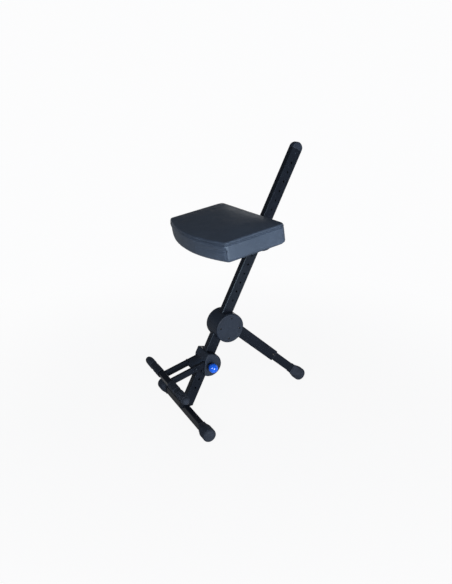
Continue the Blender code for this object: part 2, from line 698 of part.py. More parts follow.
def convex(points):
    """The convex hull of a few outline points, in order."""
    points = sorted(set(points))
    chains = []
    for ordered in (points, points[::-1]):
        chain = []
        for p in ordered:
            while len(chain) > 1 and ((chain[-1][0] - chain[-2][0]) * (p[1] - chain[-2][1])
                                      - (chain[-1][1] - chain[-2][1]) * (p[0] - chain[-2][0])) <= 0:
                chain.pop()
            chain.append(p)
        chains.append(chain[:-1])
    return chains[0] + chains[1]


def lug_place(distance=0.0):
    """A point on the lug's centre line, at a distance behind the hinge bolt, in a carriage's (y, z)."""
    return (-LUG_FORWARD + distance * math.cos(LUG_ANGLE), -LUG_BELOW + distance * math.sin(LUG_ANGLE))


def make_carriage(word, frame, materials):
    """The moulded block that slides on the mast: two round cheeks, a lip across the front and the hinge lug."""
    cheek_arc = arc((CHEEK_BEHIND, 0), CHEEK_RADIUS, CHEEK_ARC_START, CHEEK_ARC_END, CHEEK_POINTS)
    outline = [(-LIP_FRONT, LIP_TOP), (-LIP_FRONT, LIP_LOW), (-BROW_FRONT, -BROW_LOW)] + cheek_arc
    half = CARRIAGE_HALF_WIDTH
    block = prism(f"{word}_carriage", outline, -half, half, frame, materials["plastic"], "X")
    bevel(block, CHEEK_EDGE, 2, 60)
    core = box(f"{word}_core", (-CORE_HALF_WIDTH, CORE_HALF_WIDTH), (-LIP_FRONT, 0),
               (-CORE_LOW, LIP_TOP - CHEEK_EDGE), frame)
    nose = lug_place()
    turn = math.pi + LUG_ANGLE
    lug_outline = arc(nose, LUG_RADIUS, turn - math.pi / 2, turn + math.pi / 2, LUG_POINTS)
    far_point = lug_place(LUG_LENGTH)
    lug_outline += [(far_point[0] + LUG_RADIUS * math.cos(turn + math.pi / 2 * s),
                     far_point[1] + LUG_RADIUS * math.sin(turn + math.pi / 2 * s)) for s in (1, -1)]
    lug_half = CORE_HALF_WIDTH - GAP / 2
    lug = prism(f"{word}_lug", lug_outline, -lug_half, lug_half, frame, axis="X")
    fuse(block, core, lug)

    bore_x = MAST_WIDTH / 2 + GAP
    bore_y = MAST_DEPTH / 2 + GAP
    tall = 2 * CHEEK_RADIUS
    cut(block, box(f"{word}_mast_bore", (-bore_x, bore_x), (-bore_y, bore_y), (-tall, tall), frame))
    nest_x = LEG_WIDTH / 2 + LEG_NEST
    cut(block, box(f"{word}_leg_nest", (-nest_x, nest_x), (bore_y + CARRIAGE_WALL, tall), (-tall, tall), frame))

    sweep = math.hypot(ARM_TAIL, ARM_HEIGHT / 2) + 2 * RUNNING_GAP
    ceiling = slot_ceiling() + GAP
    start = math.asin((ceiling - nose[1]) / sweep)
    pocket = arc(nose, sweep, start, -math.pi / 2, SLOT_POINTS)
    pocket += [(nose[0] - sweep, nose[1] - sweep), (nose[0] - sweep, ceiling)]
    for side in (-1, 1):
        low, high = sorted((side * CORE_HALF_WIDTH, side * SLOT_OUTSIDE))
        cut(block, prism(f"{word}_arm_slot_{side + 1}", pocket, low, high, frame, axis="X"))
    bolt_holes = [lug_place()] if word == "footrest" else [lug_place(), lug_place(BRACKET_BOLT_SPACING)]
    bm = bmesh.new()
    for place in bolt_holes:
        hole = circle(place, HINGE_BOLT_RADIUS + GAP, SMALL_ROUND)
        prism_mesh(hole, -half - OVERRUN, half + OVERRUN, "X", bm)
    cut(block, finish(f"{word}_bolt_holes", bm, frame))
    hole_x(block, f"{word}_pin_bore", PIN_RADIUS + GAP, 0, half + OVERRUN, frame, (0, 0))
    seat_in = half - BUSHING_LENGTH - SPRING_LENGTH - 2 * GAP
    hole_x(block, f"{word}_spring_bore", BUSHING_RADIUS + GAP, seat_in, half + OVERRUN, frame, (0, 0))


def slot_ceiling():
    """Height of the arm slot's ceiling, which the arm's tail bears on, above the pin's axis."""
    corner = lug_place(ARM_TAIL)
    return corner[1] + ARM_HEIGHT / 2 * math.cos(LUG_ANGLE)


def make_lock(word, frame, materials):
    """The steel bushing and spring in the cheek, and the pin with its ball knob that pulls out along +X."""
    half = CARRIAGE_HALF_WIDTH
    flange = half + GAP
    front = flange + BUSHING_FLANGE_THICKNESS
    bore = PIN_RADIUS + GAP
    turned(f"{word}_pin_bushing", [
        (half - BUSHING_LENGTH, bore), (half - BUSHING_LENGTH, BUSHING_RADIUS), (flange, BUSHING_RADIUS),
        (flange, BUSHING_FLANGE), (front, BUSHING_FLANGE), (front, bore)], frame, materials["zinc"])
    seat_in = half - BUSHING_LENGTH - SPRING_LENGTH
    coil = bpy.data.curves.new(f"{word}_pin_spring", "CURVE")
    coil.dimensions = "3D"
    coil.bevel_depth = SPRING_WIRE
    coil.bevel_resolution = 1
    coil.use_fill_caps = True
    line = coil.splines.new("POLY")
    count = SPRING_TURNS * SPRING_POINTS
    line.points.add(count)
    radius = (bore + BUSHING_RADIUS) / 2 + SPRING_WIRE / 2
    for i, point in enumerate(line.points):
        angle = 2 * math.pi * i / SPRING_POINTS
        x = seat_in + SPRING_WIRE + (SPRING_LENGTH - 2 * SPRING_WIRE - GAP) * i / count
        point.co = (x, radius * math.cos(angle), radius * math.sin(angle), 1)
    spring = bpy.data.objects.new(f"{word}_pin_spring", coil)
    bpy.context.collection.objects.link(spring)
    spring.parent = frame
    coil.materials.append(materials["zinc"])

    pull = empty(f"{word}_pull", frame)
    tip = MAST_WIDTH / 2 + GAP
    end = BALL_OUT - PIN_IN_BALL
    turned(f"{word}_lock_pin", [
        (tip, 0), (tip, PIN_RADIUS - GAP), (tip + 2 * GAP, PIN_RADIUS), (end, PIN_RADIUS), (end, 0)],
        pull, materials["zinc"])
    neck_start = front + GAP
    neck_meets = math.asin(NECK_RADIUS / BALL_RADIUS)
    profile = [(end + GAP, 0), (end + GAP, bore), (neck_start, bore), (neck_start, NECK_RADIUS)]
    profile += arc((BALL_OUT, 0), BALL_RADIUS, math.pi - neck_meets, 0, KNOB_POINTS)
    profile[-1] = (BALL_OUT + BALL_RADIUS, 0)
    turned(f"{word}_knob", profile, pull, materials["blue"], count=KNOB_ROUND)


def make_footrest(carriage, materials):
    """Two arms hinged on the lug, the cross bar between them and a ribbed sleeve over each end of the bar."""
    nose = lug_place()
    hinge = empty("footrest_hinge", carriage, (0, nose[0], nose[1]), LUG_ANGLE)
    # In the hinge's frame -y runs out along the arms
    bar_rear = -ARM_REACH + CROSSBAR_DEPTH / 2
    for side, word in ((1, "left"), (-1, "right")):
        middle = side * (ARM_INSIDE + ARM_WIDTH / 2)
        place = empty(f"footrest_arm_{word}_line", hinge, (middle, 0, 0))
        arm = tube(f"footrest_arm_{word}", ARM_WIDTH, ARM_HEIGHT, TUBE_WALL, ARM_CORNER, bar_rear + GAP,
                   ARM_TAIL, place, materials["coated"], "Y")
        hole_x(arm, f"footrest_arm_{word}_hole", HINGE_BOLT_RADIUS + GAP, -ARM_WIDTH, ARM_WIDTH, place, (0, 0))
    bar = empty("footrest_bar", hinge, (0, -ARM_REACH, 0))
    half = CROSSBAR_LENGTH / 2
    tube("footrest_crossbar", CROSSBAR_DEPTH, CROSSBAR_HEIGHT, TUBE_WALL, CROSSBAR_CORNER, -half, half, bar,
         materials["coated"], "X")
    bore = rounded_rectangle(CROSSBAR_DEPTH + 2 * GAP, CROSSBAR_HEIGHT + 2 * GAP, CROSSBAR_CORNER + GAP)
    for side, word in ((1, "left"), (-1, "right")):
        rings = []
        for distance, growth in sleeve_stations():
            deep = CROSSBAR_DEPTH + 2 * (SLEEVE_WALL + growth)
            tall = CROSSBAR_HEIGHT + 2 * (SLEEVE_WALL + growth)
            corner = min(sleeve_corner(distance), min(deep, tall) / 2 * SLEEVE_ROUND_SHARE)
            section = rounded_rectangle(deep, tall, corner, SLEEVE_POINTS)
            rings.append([(side * distance, a, b) for a, b in section])
        sleeve = finish(f"footrest_sleeve_{word}", skin_mesh(rings), bar, materials["rubber"])
        low, high = sorted((side * (SLEEVE_START - OVERRUN), side * (half + GAP)))
        cut(sleeve, prism(f"footrest_sleeve_{word}_socket", bore, low, high, bar, axis="X"))
    reach = SLOT_OUTSIDE
    bolt("footrest_hinge_bolt", HINGE_BOLT_RADIUS, -reach - HINGE_BOLT_RADIUS * 2, reach, carriage,
         materials["zinc"], nose)
    nut("footrest_hinge_nut", HINGE_BOLT_RADIUS, -reach, carriage, materials["zinc"], nose)


def sleeve_corner(distance):
    """A sleeve's corner radius: the same over the bar, and growing until the section is round at the tip."""
    bar_end = CROSSBAR_LENGTH / 2
    tip_start = SLEEVE_START + SLEEVE_LENGTH - SLEEVE_TIP
    share = max(0.0, min(1.0, (distance - bar_end) / (tip_start - bar_end)))
    return SLEEVE_CORNER + (CROSSBAR_HEIGHT / 2 + SLEEVE_WALL - SLEEVE_CORNER) * share


def sleeve_stations():
    """Stations along a sleeve: (distance from the middle, extra thickness)."""
    tip_start = SLEEVE_START + SLEEVE_LENGTH - SLEEVE_TIP
    collar_end = SLEEVE_START + SLEEVE_COLLAR
    stations = [(SLEEVE_START, 0), (SLEEVE_START + SLEEVE_STEP, SLEEVE_STEP),
                (collar_end - SLEEVE_STEP, SLEEVE_STEP), (collar_end, 0)]
    first_rib = tip_start - RIB_PITCH * RIB_COUNT
    for i in range(RIB_COUNT):
        start = first_rib + i * RIB_PITCH
        stations += [(start, 0), (start + RIB_PITCH * RIB_TOP_SHARE, RIB_HEIGHT),
                     (start + RIB_PITCH * RIB_END_SHARE, 0)]
    for i in range(5):
        a = math.pi / 2 * i / 4
        stations.append((tip_start + SLEEVE_TIP * math.sin(a), -SLEEVE_TIP_DRAW_IN * (1 - math.cos(a))))
    return stations


def cushion_outline(inset):
    """The seat's outline as (x, y), drawn in by inset: straight sides and back and a bowed front."""
    half = CUSHION_HALF_WIDTH - inset
    rear = CUSHION_LENGTH / 2 - inset
    front = -CUSHION_LENGTH / 2 + inset
    full_half = CUSHION_HALF_WIDTH
    bow_radius = (full_half ** 2 + CUSHION_BOW ** 2) / (2 * CUSHION_BOW) - inset
    corner = max(CUSHION_CORNER - inset, CUSHION_CORNER / 5)
    bow_centre = front + bow_radius
    run = math.sqrt((bow_radius - corner) ** 2 - (half - corner) ** 2)
    front_corner = (half - corner, bow_centre - run)
    spread = math.atan2(front_corner[0], run)
    right = [(half, rear - corner + (front_corner[1] - rear + corner) * i / CUSHION_SIDE_POINTS)
             for i in range(1, CUSHION_SIDE_POINTS)]
    points = arc((half - corner, rear - corner), corner, math.pi / 2, 0, CUSHION_CORNER_POINTS)
    points += right
    points += arc(front_corner, corner, 0, -math.pi / 2 + spread, CUSHION_CORNER_POINTS)
    ahead = -math.pi / 2
    bow = arc((0, bow_centre), bow_radius, ahead + spread, ahead - spread, 2 * CUSHION_FRONT_POINTS)
    points += bow[1:-1]
    mirrored = [(-x, y) for x, y in reversed(points[:len(points) - len(bow[1:-1])])]
    points += mirrored
    back = [(x * (half - corner), rear) for x in CUSHION_BACK_SHARES]
    return points + back


def cushion_rings():
    """Rings of the cushion: drawn-in bottom, bulging side, rounded top edge and the crown."""
    rings = [[(x, y, level * CUSHION_RIM) for x, y in cushion_outline(share * CUSHION_DRAW_IN)]
             for level, share in CUSHION_LEVELS]
    edge_level, share = CUSHION_LEVELS[-1]
    edge_inset = share * CUSHION_DRAW_IN
    for i in range(1, 4):
        a = math.pi / 2 * i / 3
        height = CUSHION_RIM * (edge_level + (1 - edge_level) * math.sin(a))
        outline = cushion_outline(edge_inset + CUSHION_TOP_EDGE * (1 - math.cos(a)))
        rings.append([(x, y, height) for x, y in outline])
    edge = cushion_outline(edge_inset + CUSHION_TOP_EDGE)
    for t in CUSHION_CROWN_LEVELS:
        rise = CUSHION_CROWN * math.cos(t * math.pi / 2) ** CUSHION_CROWN_FALL
        rings.append([(x * t, y * t, CUSHION_RIM + rise) for x, y in edge])
    return rings


def make_seat(carriage, materials):
    """The pressed bracket bolted to the lug, the board, its screws and the cushion that wraps the board."""
    nose = lug_place()
    tilt = empty("seat_hinge_line", carriage, (0, nose[0], nose[1]), SEAT_ANGLE)
    seat = empty("seat_plane", tilt, (0, -SEAT_SET_BACK, SEAT_RISE))
    rings = cushion_rings()
    cushion = finish("seat_cushion", skin_mesh(rings), seat, materials["vinyl"], 50)
    pocket = cushion_outline(BOARD_INSET - GAP)
    cut(cushion, prism("seat_cushion_pocket", pocket, -OVERRUN, BOARD_THICKNESS + GAP, seat))
    board = prism("seat_board", cushion_outline(BOARD_INSET), 0, BOARD_THICKNESS, seat, materials["board"])

    plate_top = -GAP
    wide = CORE_HALF_WIDTH + GAP + BRACKET_THICKNESS
    inner = CORE_HALF_WIDTH + GAP
    deep = SEAT_RISE + BRACKET_NOSE
    section = [(-wide, plate_top), (-wide, -deep), (-inner, -deep), (-inner, plate_top - BRACKET_THICKNESS),
               (inner, plate_top - BRACKET_THICKNESS), (inner, -deep), (wide, -deep), (wide, plate_top)]
    rear_end = BRACKET_REAR + LUG_RADIUS
    bracket = prism("seat_bracket", section, BRACKET_FRONT, rear_end, seat, materials["coated"], "Y")
    pivot = (SEAT_SET_BACK, -SEAT_RISE)
    slant = LUG_ANGLE - SEAT_ANGLE
    second = (pivot[0] + BRACKET_BOLT_SPACING * math.cos(slant),
              pivot[1] + BRACKET_BOLT_SPACING * math.sin(slant))
    low = -deep - OVERRUN
    before = BRACKET_FRONT - OVERRUN
    waste_front = [(before, -BRACKET_FRONT_DEPTH), (BRACKET_FRONT + OVERRUN, -BRACKET_FRONT_DEPTH)]
    waste_front += arc(pivot, BRACKET_NOSE, math.radians(200), math.radians(270), 5)
    waste_front += [(pivot[0], low), (before, low)]
    cut(bracket, prism("seat_bracket_front_waste", waste_front, -2 * wide, 2 * wide, seat, axis="X"))
    rear_edge = second[0] + LUG_RADIUS
    waste_rear = [(pivot[0], low)] + arc(pivot, BRACKET_NOSE, -math.pi / 2, math.radians(-40), 3)
    waste_rear += [(rear_edge, second[1]), (rear_edge, GAP), (rear_edge + 2 * OVERRUN, GAP),
                   (rear_edge + 2 * OVERRUN, low)]
    cut(bracket, prism("seat_bracket_rear_waste", waste_rear, -2 * wide, 2 * wide, seat, axis="X"))
    bm = bmesh.new()
    for place in (pivot, second):
        prism_mesh(circle(place, HINGE_BOLT_RADIUS + GAP, SMALL_ROUND), -2 * wide, 2 * wide, "X", bm)
    cut(bracket, finish("seat_bracket_bolt_holes", bm, seat))
    reach = wide + GAP
    for distance, word in ((0, "front"), (BRACKET_BOLT_SPACING, "rear")):
        place = lug_place(distance)
        bolt(f"seat_bolt_{word}", HINGE_BOLT_RADIUS, -reach - HINGE_BOLT_RADIUS * 2, reach, carriage,
             materials["zinc"], place)
        nut(f"seat_nut_{word}", HINGE_BOLT_RADIUS, -reach, carriage, materials["zinc"], place)

    radius = SEAT_SCREW_RADIUS
    head = radius * HEAD_RADIUS_SHARE
    height = radius * HEAD_HEIGHT_SHARE
    under = -plate_top + BRACKET_THICKNESS + GAP
    profile = [(under + height, 0), (under + height, head * SEAT_SCREW_FACE_SHARE),
               (under + height * SEAT_SCREW_EDGE_SHARE, head), (under, head), (under, radius),
               (-SEAT_SCREW_BITE, radius), (-SEAT_SCREW_BITE, 0)]
    places = [(x, y) for y in (SEAT_SCREW_FRONT, SEAT_SCREW_REAR) for x in (-SEAT_SCREW_SIDE, SEAT_SCREW_SIDE)]
    bore = radius + GAP
    for number, (x, y) in enumerate(places, 1):
        hole_z(board, f"seat_screw_hole_board_{number}", bore, low, SEAT_SCREW_BITE + GAP, seat, (x, y))
        hole_z(bracket, f"seat_screw_hole_bracket_{number}", bore, low, plate_top + GAP / 2, seat, (x, y))
        screw = turned(f"seat_screw_{number}", profile, seat, materials["zinc"])
        screw.rotation_euler = (0, math.pi / 2, 0)
        screw.location = (x, y, 0)


def centre_on_footprint(stool):
    """Moves the stool so that the origin is at the middle of its footprint."""
    bpy.context.view_layer.update()
    graph = bpy.context.evaluated_depsgraph_get()
    low, high = math.inf, -math.inf
    for item in bpy.data.objects:
        if item.type == "EMPTY" or item.hide_render:
            continue
        evaluated = item.evaluated_get(graph)
        mesh = evaluated.to_mesh()
        for vertex in mesh.vertices:
            y = (evaluated.matrix_world @ vertex.co).y
            low, high = min(low, y), max(high, y)
        evaluated.to_mesh_clear()
    stool.location.y = -(low + high) / 2


def main():
    clear_scene()
    materials = make_materials()
    stool = empty("stool")
    mast = empty("mast_line", stool, (0, 0, HUB_HEIGHT), -MAST_LEAN)
    make_mast(stool, mast, materials)
    make_base(stool, materials)
    make_hub(mast, materials)
    make_leg(mast, materials)
    for word, index in (("footrest", FOOTREST_HOLE), ("seat", SEAT_HOLE)):
        frame = empty(f"{word}_slide", mast, (0, 0, mast_hole_height(index)))
        make_carriage(word, frame, materials)
        make_lock(word, frame, materials)
        if word == "footrest":
            make_footrest(frame, materials)
        else:
            make_seat(frame, materials)
    centre_on_footprint(stool)


main()
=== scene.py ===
"""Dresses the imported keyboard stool: its finishes, its rubber and padded pieces, and the studio it stands in."""

import json
import math
from collections import namedtuple

import bmesh
import bpy
from bpy.props import FloatProperty, FloatVectorProperty, IntProperty, PointerProperty
from mathutils import Matrix, Vector, noise

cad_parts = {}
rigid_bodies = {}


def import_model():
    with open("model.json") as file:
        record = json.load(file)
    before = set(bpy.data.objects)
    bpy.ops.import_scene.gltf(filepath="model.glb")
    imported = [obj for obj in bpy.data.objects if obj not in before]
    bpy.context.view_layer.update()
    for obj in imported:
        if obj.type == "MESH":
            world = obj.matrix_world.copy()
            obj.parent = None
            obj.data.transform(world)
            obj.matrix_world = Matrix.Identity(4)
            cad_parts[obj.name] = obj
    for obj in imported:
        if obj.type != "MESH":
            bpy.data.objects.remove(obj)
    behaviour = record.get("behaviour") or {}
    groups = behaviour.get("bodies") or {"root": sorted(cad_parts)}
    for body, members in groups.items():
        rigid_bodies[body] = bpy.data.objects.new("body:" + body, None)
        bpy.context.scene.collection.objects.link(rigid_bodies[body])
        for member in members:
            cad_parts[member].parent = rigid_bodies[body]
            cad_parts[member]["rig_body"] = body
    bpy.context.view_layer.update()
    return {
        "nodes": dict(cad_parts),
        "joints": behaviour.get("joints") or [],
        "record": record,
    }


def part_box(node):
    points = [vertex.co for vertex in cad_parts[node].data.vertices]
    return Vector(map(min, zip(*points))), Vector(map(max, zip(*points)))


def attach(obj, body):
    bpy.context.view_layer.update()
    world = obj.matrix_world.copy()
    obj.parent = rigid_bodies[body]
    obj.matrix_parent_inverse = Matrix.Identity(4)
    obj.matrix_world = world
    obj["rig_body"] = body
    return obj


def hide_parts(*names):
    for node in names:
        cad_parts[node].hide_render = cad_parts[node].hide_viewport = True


bl_info = {
    "name": "Keyboard Stool Dresser",
    "version": (1, 0, 0),
    "blender": (4, 5, 0),
    "location": "View3D > Sidebar > Stool",
    "description": "Finishes, rubber, padding and studio for the packed keyboard stool",
    "category": "Object",
}

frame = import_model()
JOINTS = {joint["name"]: joint for joint in frame["joints"]}
LEG_AXIS = Vector(JOINTS["leg_length"]["axis"])
SIDES = ((1, "left"), (-1, "right"))
ROUND_STEPS = 10

# Lengths are in metres: points this near are one, the gap of a sliding fit, and how far a sole gives
TOUCH, FIT, SOLE_PRESS = 1e-6, 0.0003, 0.0008

# Edges from this many degrees on stay sharp: of covers, of most pieces, of soft ones and of round ones
COVER_SHARP, SHARP, SOFT_SHARP, ROUND_SHARP = 28, 34, 50, 60


# Sizes, finishes and studio that a user would change


def metres(name, description, default):
    return FloatProperty(name=name, description=description, unit="LENGTH", default=default)


def fraction(name, description, default):
    return FloatProperty(name=name, description=description, subtype="FACTOR", default=default)


def degrees(name, description, default):
    return FloatProperty(name=name, description=description, subtype="ANGLE", default=math.radians(default))


def watts(name, description, default):
    return FloatProperty(name=name, description=description, unit="POWER", default=default)


def colour(name, description, default):
    return FloatVectorProperty(name=name, description=description, subtype="COLOR", size=3, default=default)


class StoolSizes(bpy.types.PropertyGroup):
    """Sizes of the pieces that are modelled here."""

    seat_tilt: degrees("Seat tilt", "How far the seat leans forward", 10)
    cushion_front_corner: metres("Front corner", "Radius of the cushion's front corners", 0.0065)
    cushion_rear_corner: metres("Rear corner", "Radius of the cushion's rear corners", 0.020)
    cushion_bow: metres("Cushion bow", "How far the cushion's front edge bows out", 0.0386)
    cushion_edge: metres("Cushion edge", "Rounding of the cushion's top and bottom edges", 0.004)
    cushion_crown: metres("Cushion crown", "How far the middle of the top stands up", 0.006)
    cushion_waist: metres("Cushion waist", "How far the sides pull in between corners", 0.0014)
    cushion_voxel: metres("Cushion voxel", "Voxel size for the padded skin", 0.004)
    cushion_cap: metres("Swell limit", "How far the padding may move a point", 0.005)
    seam_drop: metres("Seam drop", "From the top edge down to the middle of the double seam", 0.0075)
    seam_spread: metres("Seam spread", "Between the two stitch lines of the double seam", 0.0048)
    seam_depth: metres("Seam depth", "Depth of a stitch line", 0.0018)
    fold_reach: metres("Fold reach", "Length of the fold in the front, from its corner", 0.15)
    board_inset: metres("Board inset", "Distance from the cushion's edge to the board", 0.0097)
    hem_width: metres("Hem width", "Width of the cover's edge under the board", 0.026)
    hem_thickness: metres("Hem thickness", "Thickness of the folded cover under the board", 0.0009)
    staple_pitch: metres("Staple pitch", "From one staple to the next", 0.026)
    tube_corner: metres("Tube corner", "Corner radius of the base bar's tube", 0.003)
    boot_lip: metres("Boot lip", "Thickness of the rubber at a base boot's mouth", 0.0018)
    boot_rounding: metres("Boot rounding", "Rounding of a base boot's closed end", 0.0095)
    boot_flare: fraction("Boot flare", "Share of a base boot over which it widens", 0.46)
    leg_boot_lip: metres("Leg boot lip", "Thickness of the rubber at the leg boot's mouth", 0.002)
    leg_boot_rounding: metres("Leg boot rounding", "Rounding of the leg boot's end", 0.009)
    leg_boot_flare: fraction("Leg boot flare", "Share of the leg boot over which it widens", 0.62)
    sleeve_wall: metres("Sleeve wall", "Thickness of a footrest sleeve", 0.002)
    sleeve_collar: metres("Sleeve collar", "Length of the thick part of a sleeve", 0.050)
    sleeve_step: metres("Sleeve step", "Extra thickness of a sleeve's collar", 0.001)
    sleeve_roundness: fraction("Sleeve roundness", "How round a sleeve is over its bar", 0.45)
    sleeve_tip: metres("Sleeve tip", "Length of a sleeve's rounded tip", 0.0115)
    sleeve_draw_in: metres("Tip draw-in", "How far a sleeve's tip narrows", 0.0085)
    rib_count: IntProperty(name="Sleeve ribs", description="Ribs round the outer part of a sleeve", default=7,
                           min=1, max=20)
    rib_pitch: metres("Rib pitch", "From one rib to the next", 0.0066)
    rib_height: metres("Rib height", "Height of the sleeve's ribs", 0.0014)
    cover_screw_ring: metres("Screw circle", "Radius of the circle of cover screws", 0.037)
    cover_screw: metres("Cover screw", "Radius of a cover screw's head", 0.0032)


class StoolFinish(bpy.types.PropertyGroup):
    """Colours of the finishes."""

    coated: colour("Coated steel", "Colour of the powder coat", (0.0078, 0.0102, 0.0165))
    plastic: colour("Moulded plastic", "Colour of the mouldings", (0.0160, 0.0240, 0.0400))
    rubber: colour("Rubber", "Colour of the boots and sleeves", (0.0200, 0.0265, 0.0400))
    vinyl: colour("Vinyl", "Colour of the cushion's cover", (0.043, 0.061, 0.096))
    knob: colour("Knob", "Colour of the ball knobs", (0.007, 0.108, 0.70))
    zinc: colour("Zinc", "Colour of the plated steel", (0.52, 0.53, 0.55))
    blackened: colour("Blackened steel", "Colour of the small black screws", (0.0075, 0.0095, 0.0140))
    board: colour("Plywood", "Colour of the seat board", (0.38, 0.25, 0.14))


class StoolStudio(bpy.types.PropertyGroup):
    """Camera and lights."""

    lens: FloatProperty(name="Lens", description="Focal length on a 36 mm upright sensor", unit="CAMERA",
                        default=32.05)
    azimuth: degrees("Azimuth", "Camera's turn from the stool's front", 61.008)
    elevation: degrees("Elevation", "Camera's height angle", 20.058)
    distance: metres("Distance", "From the target to the camera", 1.72084)
    target: FloatVectorProperty(name="Target", description="Aimed point, measured from the hub's centre",
                                subtype="TRANSLATION", size=3, default=(0.03658, -0.0155, 0.13418))
    ambient: FloatProperty(name="Ambient", description="Strength of the light from all round", default=0.10)
    side: watts("Side light", "Power of the light at the sitter's left", 80.0)
    accent: watts("Accent light", "Power of the small light in front", 27.0)
    top: watts("Top light", "Power of the light overhead", 5.0)
    rear: watts("Rear lights", "Power of each light behind and at the right", 7.0)


# Geometry helpers


def centre_of(*nodes):
    """The middle of the box round CAD nodes."""
    boxes = [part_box(node) for node in nodes]
    low = Vector(min(box[0][i] for box in boxes) for i in range(3))
    high = Vector(max(box[1][i] for box in boxes) for i in range(3))
    return (low + high) / 2


def span_in(node, matrix):
    """A CAD node's lowest and highest corners in another frame."""
    inverse = matrix.inverted()
    points = [inverse @ vertex.co for vertex in frame["nodes"][node].data.vertices]
    return (Vector(min(p[i] for p in points) for i in range(3)), Vector(max(p[i] for p in points) for i in range(3)))


def tilted(point, angle):
    """A frame at a point, turned about X."""
    return Matrix.Translation(point) @ Matrix.Rotation(angle, 4, "X")


def hub_centre():
    return centre_of("hub_cover_left", "hub_cover_right")


def sideways(side, point):
    """A frame at a point whose Z looks out along X on that side."""
    return Matrix.Translation(point) @ Matrix.Rotation(side * math.pi / 2, 4, "Y")


def bevelled(bm, geom, offset, segments, affect="EDGES"):
    bmesh.ops.bevel(bm, geom=geom, offset=offset, offset_type="OFFSET", segments=segments, profile=0.5,
                    affect=affect, material=-1)


def object_from(name, bm):
    """A new object in the scene that takes over a bmesh."""
    mesh = bpy.data.meshes.new(name)
    bm.to_mesh(mesh)
    bm.free()
    thing = bpy.data.objects.new(name, mesh)
    bpy.context.collection.objects.link(thing)
    return thing


def shade(piece, finish, sharp):
    """Gives a piece its finish and smooth shading, with its sharp edges kept."""
    piece.data.materials.clear()
    piece.data.materials.append(finishes()[finish])
    piece.data.shade_smooth()
    piece.data.set_sharp_from_angle(angle=math.radians(sharp))


def make_piece(name, bm, body, slot, place=Matrix.Identity(4), replaces=(), sharp=SHARP, finish=None):
    """Turns a bmesh into a finished piece: its place goes into the mesh, and it rides on its body."""
    bmesh.ops.remove_doubles(bm, verts=bm.verts, dist=TOUCH)
    bmesh.ops.recalc_face_normals(bm, faces=bm.faces)
    bm.transform(place)
    piece = object_from(name, bm)
    shade(piece, finish or slot, sharp)
    modify(piece, "WEIGHTED_NORMAL", keep_sharp=True)
    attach(piece, body)
    if replaces:
        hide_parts(*replaces)
    return piece


def apply_modifiers(piece):
    """Keeps the evaluated mesh and drops the modifiers."""
    graph = bpy.context.evaluated_depsgraph_get()
    graph.update()
    mesh = bpy.data.meshes.new_from_object(piece.evaluated_get(graph), depsgraph=graph)
    old = piece.data
    piece.modifiers.clear()
    piece.data = mesh
    bpy.data.meshes.remove(old)
    mesh.name = piece.name


def modify(piece, kind, **settings):
    """Runs a modifier on a piece and keeps the result as its mesh."""
    modifier = piece.modifiers.new(kind, kind)
    for key, value in settings.items():
        setattr(modifier, key, value)
    apply_modifiers(piece)


def cut_out(piece, cutter_bm, place=Matrix.Identity(4)):
    """Cuts a bmesh's volume from a piece."""
    cutter_bm.transform(place)
    bmesh.ops.recalc_face_normals(cutter_bm, faces=cutter_bm.faces)
    cutter = object_from(piece.name + "_cutter", cutter_bm)
    modify(piece, "BOOLEAN", object=cutter, solver="EXACT")
    mesh = cutter.data
    bpy.data.objects.remove(cutter)
    bpy.data.meshes.remove(mesh)


def merge_into(bm, other):
    """Adds one bmesh to another through a passing mesh."""
    passing = bpy.data.meshes.new("passing")
    other.to_mesh(passing)
    other.free()
    bm.from_mesh(passing)
    bpy.data.meshes.remove(passing)


def spun(profile, steps):
    """Spins a profile of (height, radius) points about Z."""
    bm = bmesh.new()
    points = [bm.verts.new((radius, 0, height)) for height, radius in profile]
    edges = [bm.edges.new(pair) for pair in zip(points, points[1:])]
    bmesh.ops.spin(bm, geom=points + edges, cent=(0, 0, 0), axis=(0, 0, 1), angle=2 * math.pi, steps=steps,
                   use_merge=True)
    return bm


SIDE_CUTS, CORNER_SEGMENTS = 8, 6


def rectangle(wide, deep):
    """A flat face round the origin."""
    bm = bmesh.new()
    bmesh.ops.create_grid(bm, x_segments=1, y_segments=1, size=0.5)
    bmesh.ops.scale(bm, vec=(wide, deep, 1), verts=bm.verts)
    return bm


def lofted(sections, wide, deep, corner):
    """Extrudes a rounded rectangle through sections of (height, growth, roundness, radius).

    Each section grows the rectangle by that much on every side, and blends it towards a circle of that radius.
    """
    bm = rectangle(wide, deep)
    bevelled(bm, bm.verts[:], corner, CORNER_SEGMENTS, affect="VERTICES")
    straight = [edge for edge in bm.edges if edge.calc_length() > corner]
    bmesh.ops.subdivide_edges(bm, edges=straight, cuts=SIDE_CUTS)
    start = bm.verts.layers.float_vector.new("start")
    for vertex in bm.verts:
        vertex[start] = vertex.co
    bm.faces.ensure_lookup_table()
    end = bm.faces[0]
    for i, (height, growth, roundness, radius) in enumerate(sections):
        if i:
            grown = bmesh.ops.extrude_face_region(bm, geom=[end])["geom"]
            end = next(item for item in grown if isinstance(item, bmesh.types.BMFace))
        for vertex in end.verts:
            x, y, _ = vertex[start]
            squared = Vector((x * (1 + 2 * growth / wide), y * (1 + 2 * growth / deep), 0))
            ring = Vector((x / wide, y / deep, 0)).normalized() * radius
            vertex.co = squared.lerp(ring, roundness) + Vector((0, 0, height))
    return bm


def quarter(count):
    """Angles from 0 to a right angle in equal steps."""
    return [math.pi / 2 * i / count for i in range(count + 1)]


def ease(t):
    """Smooth step from 0 to 1."""
    t = max(0.0, min(1.0, t))
    return t * t * (3 - 2 * t)


# Finishes

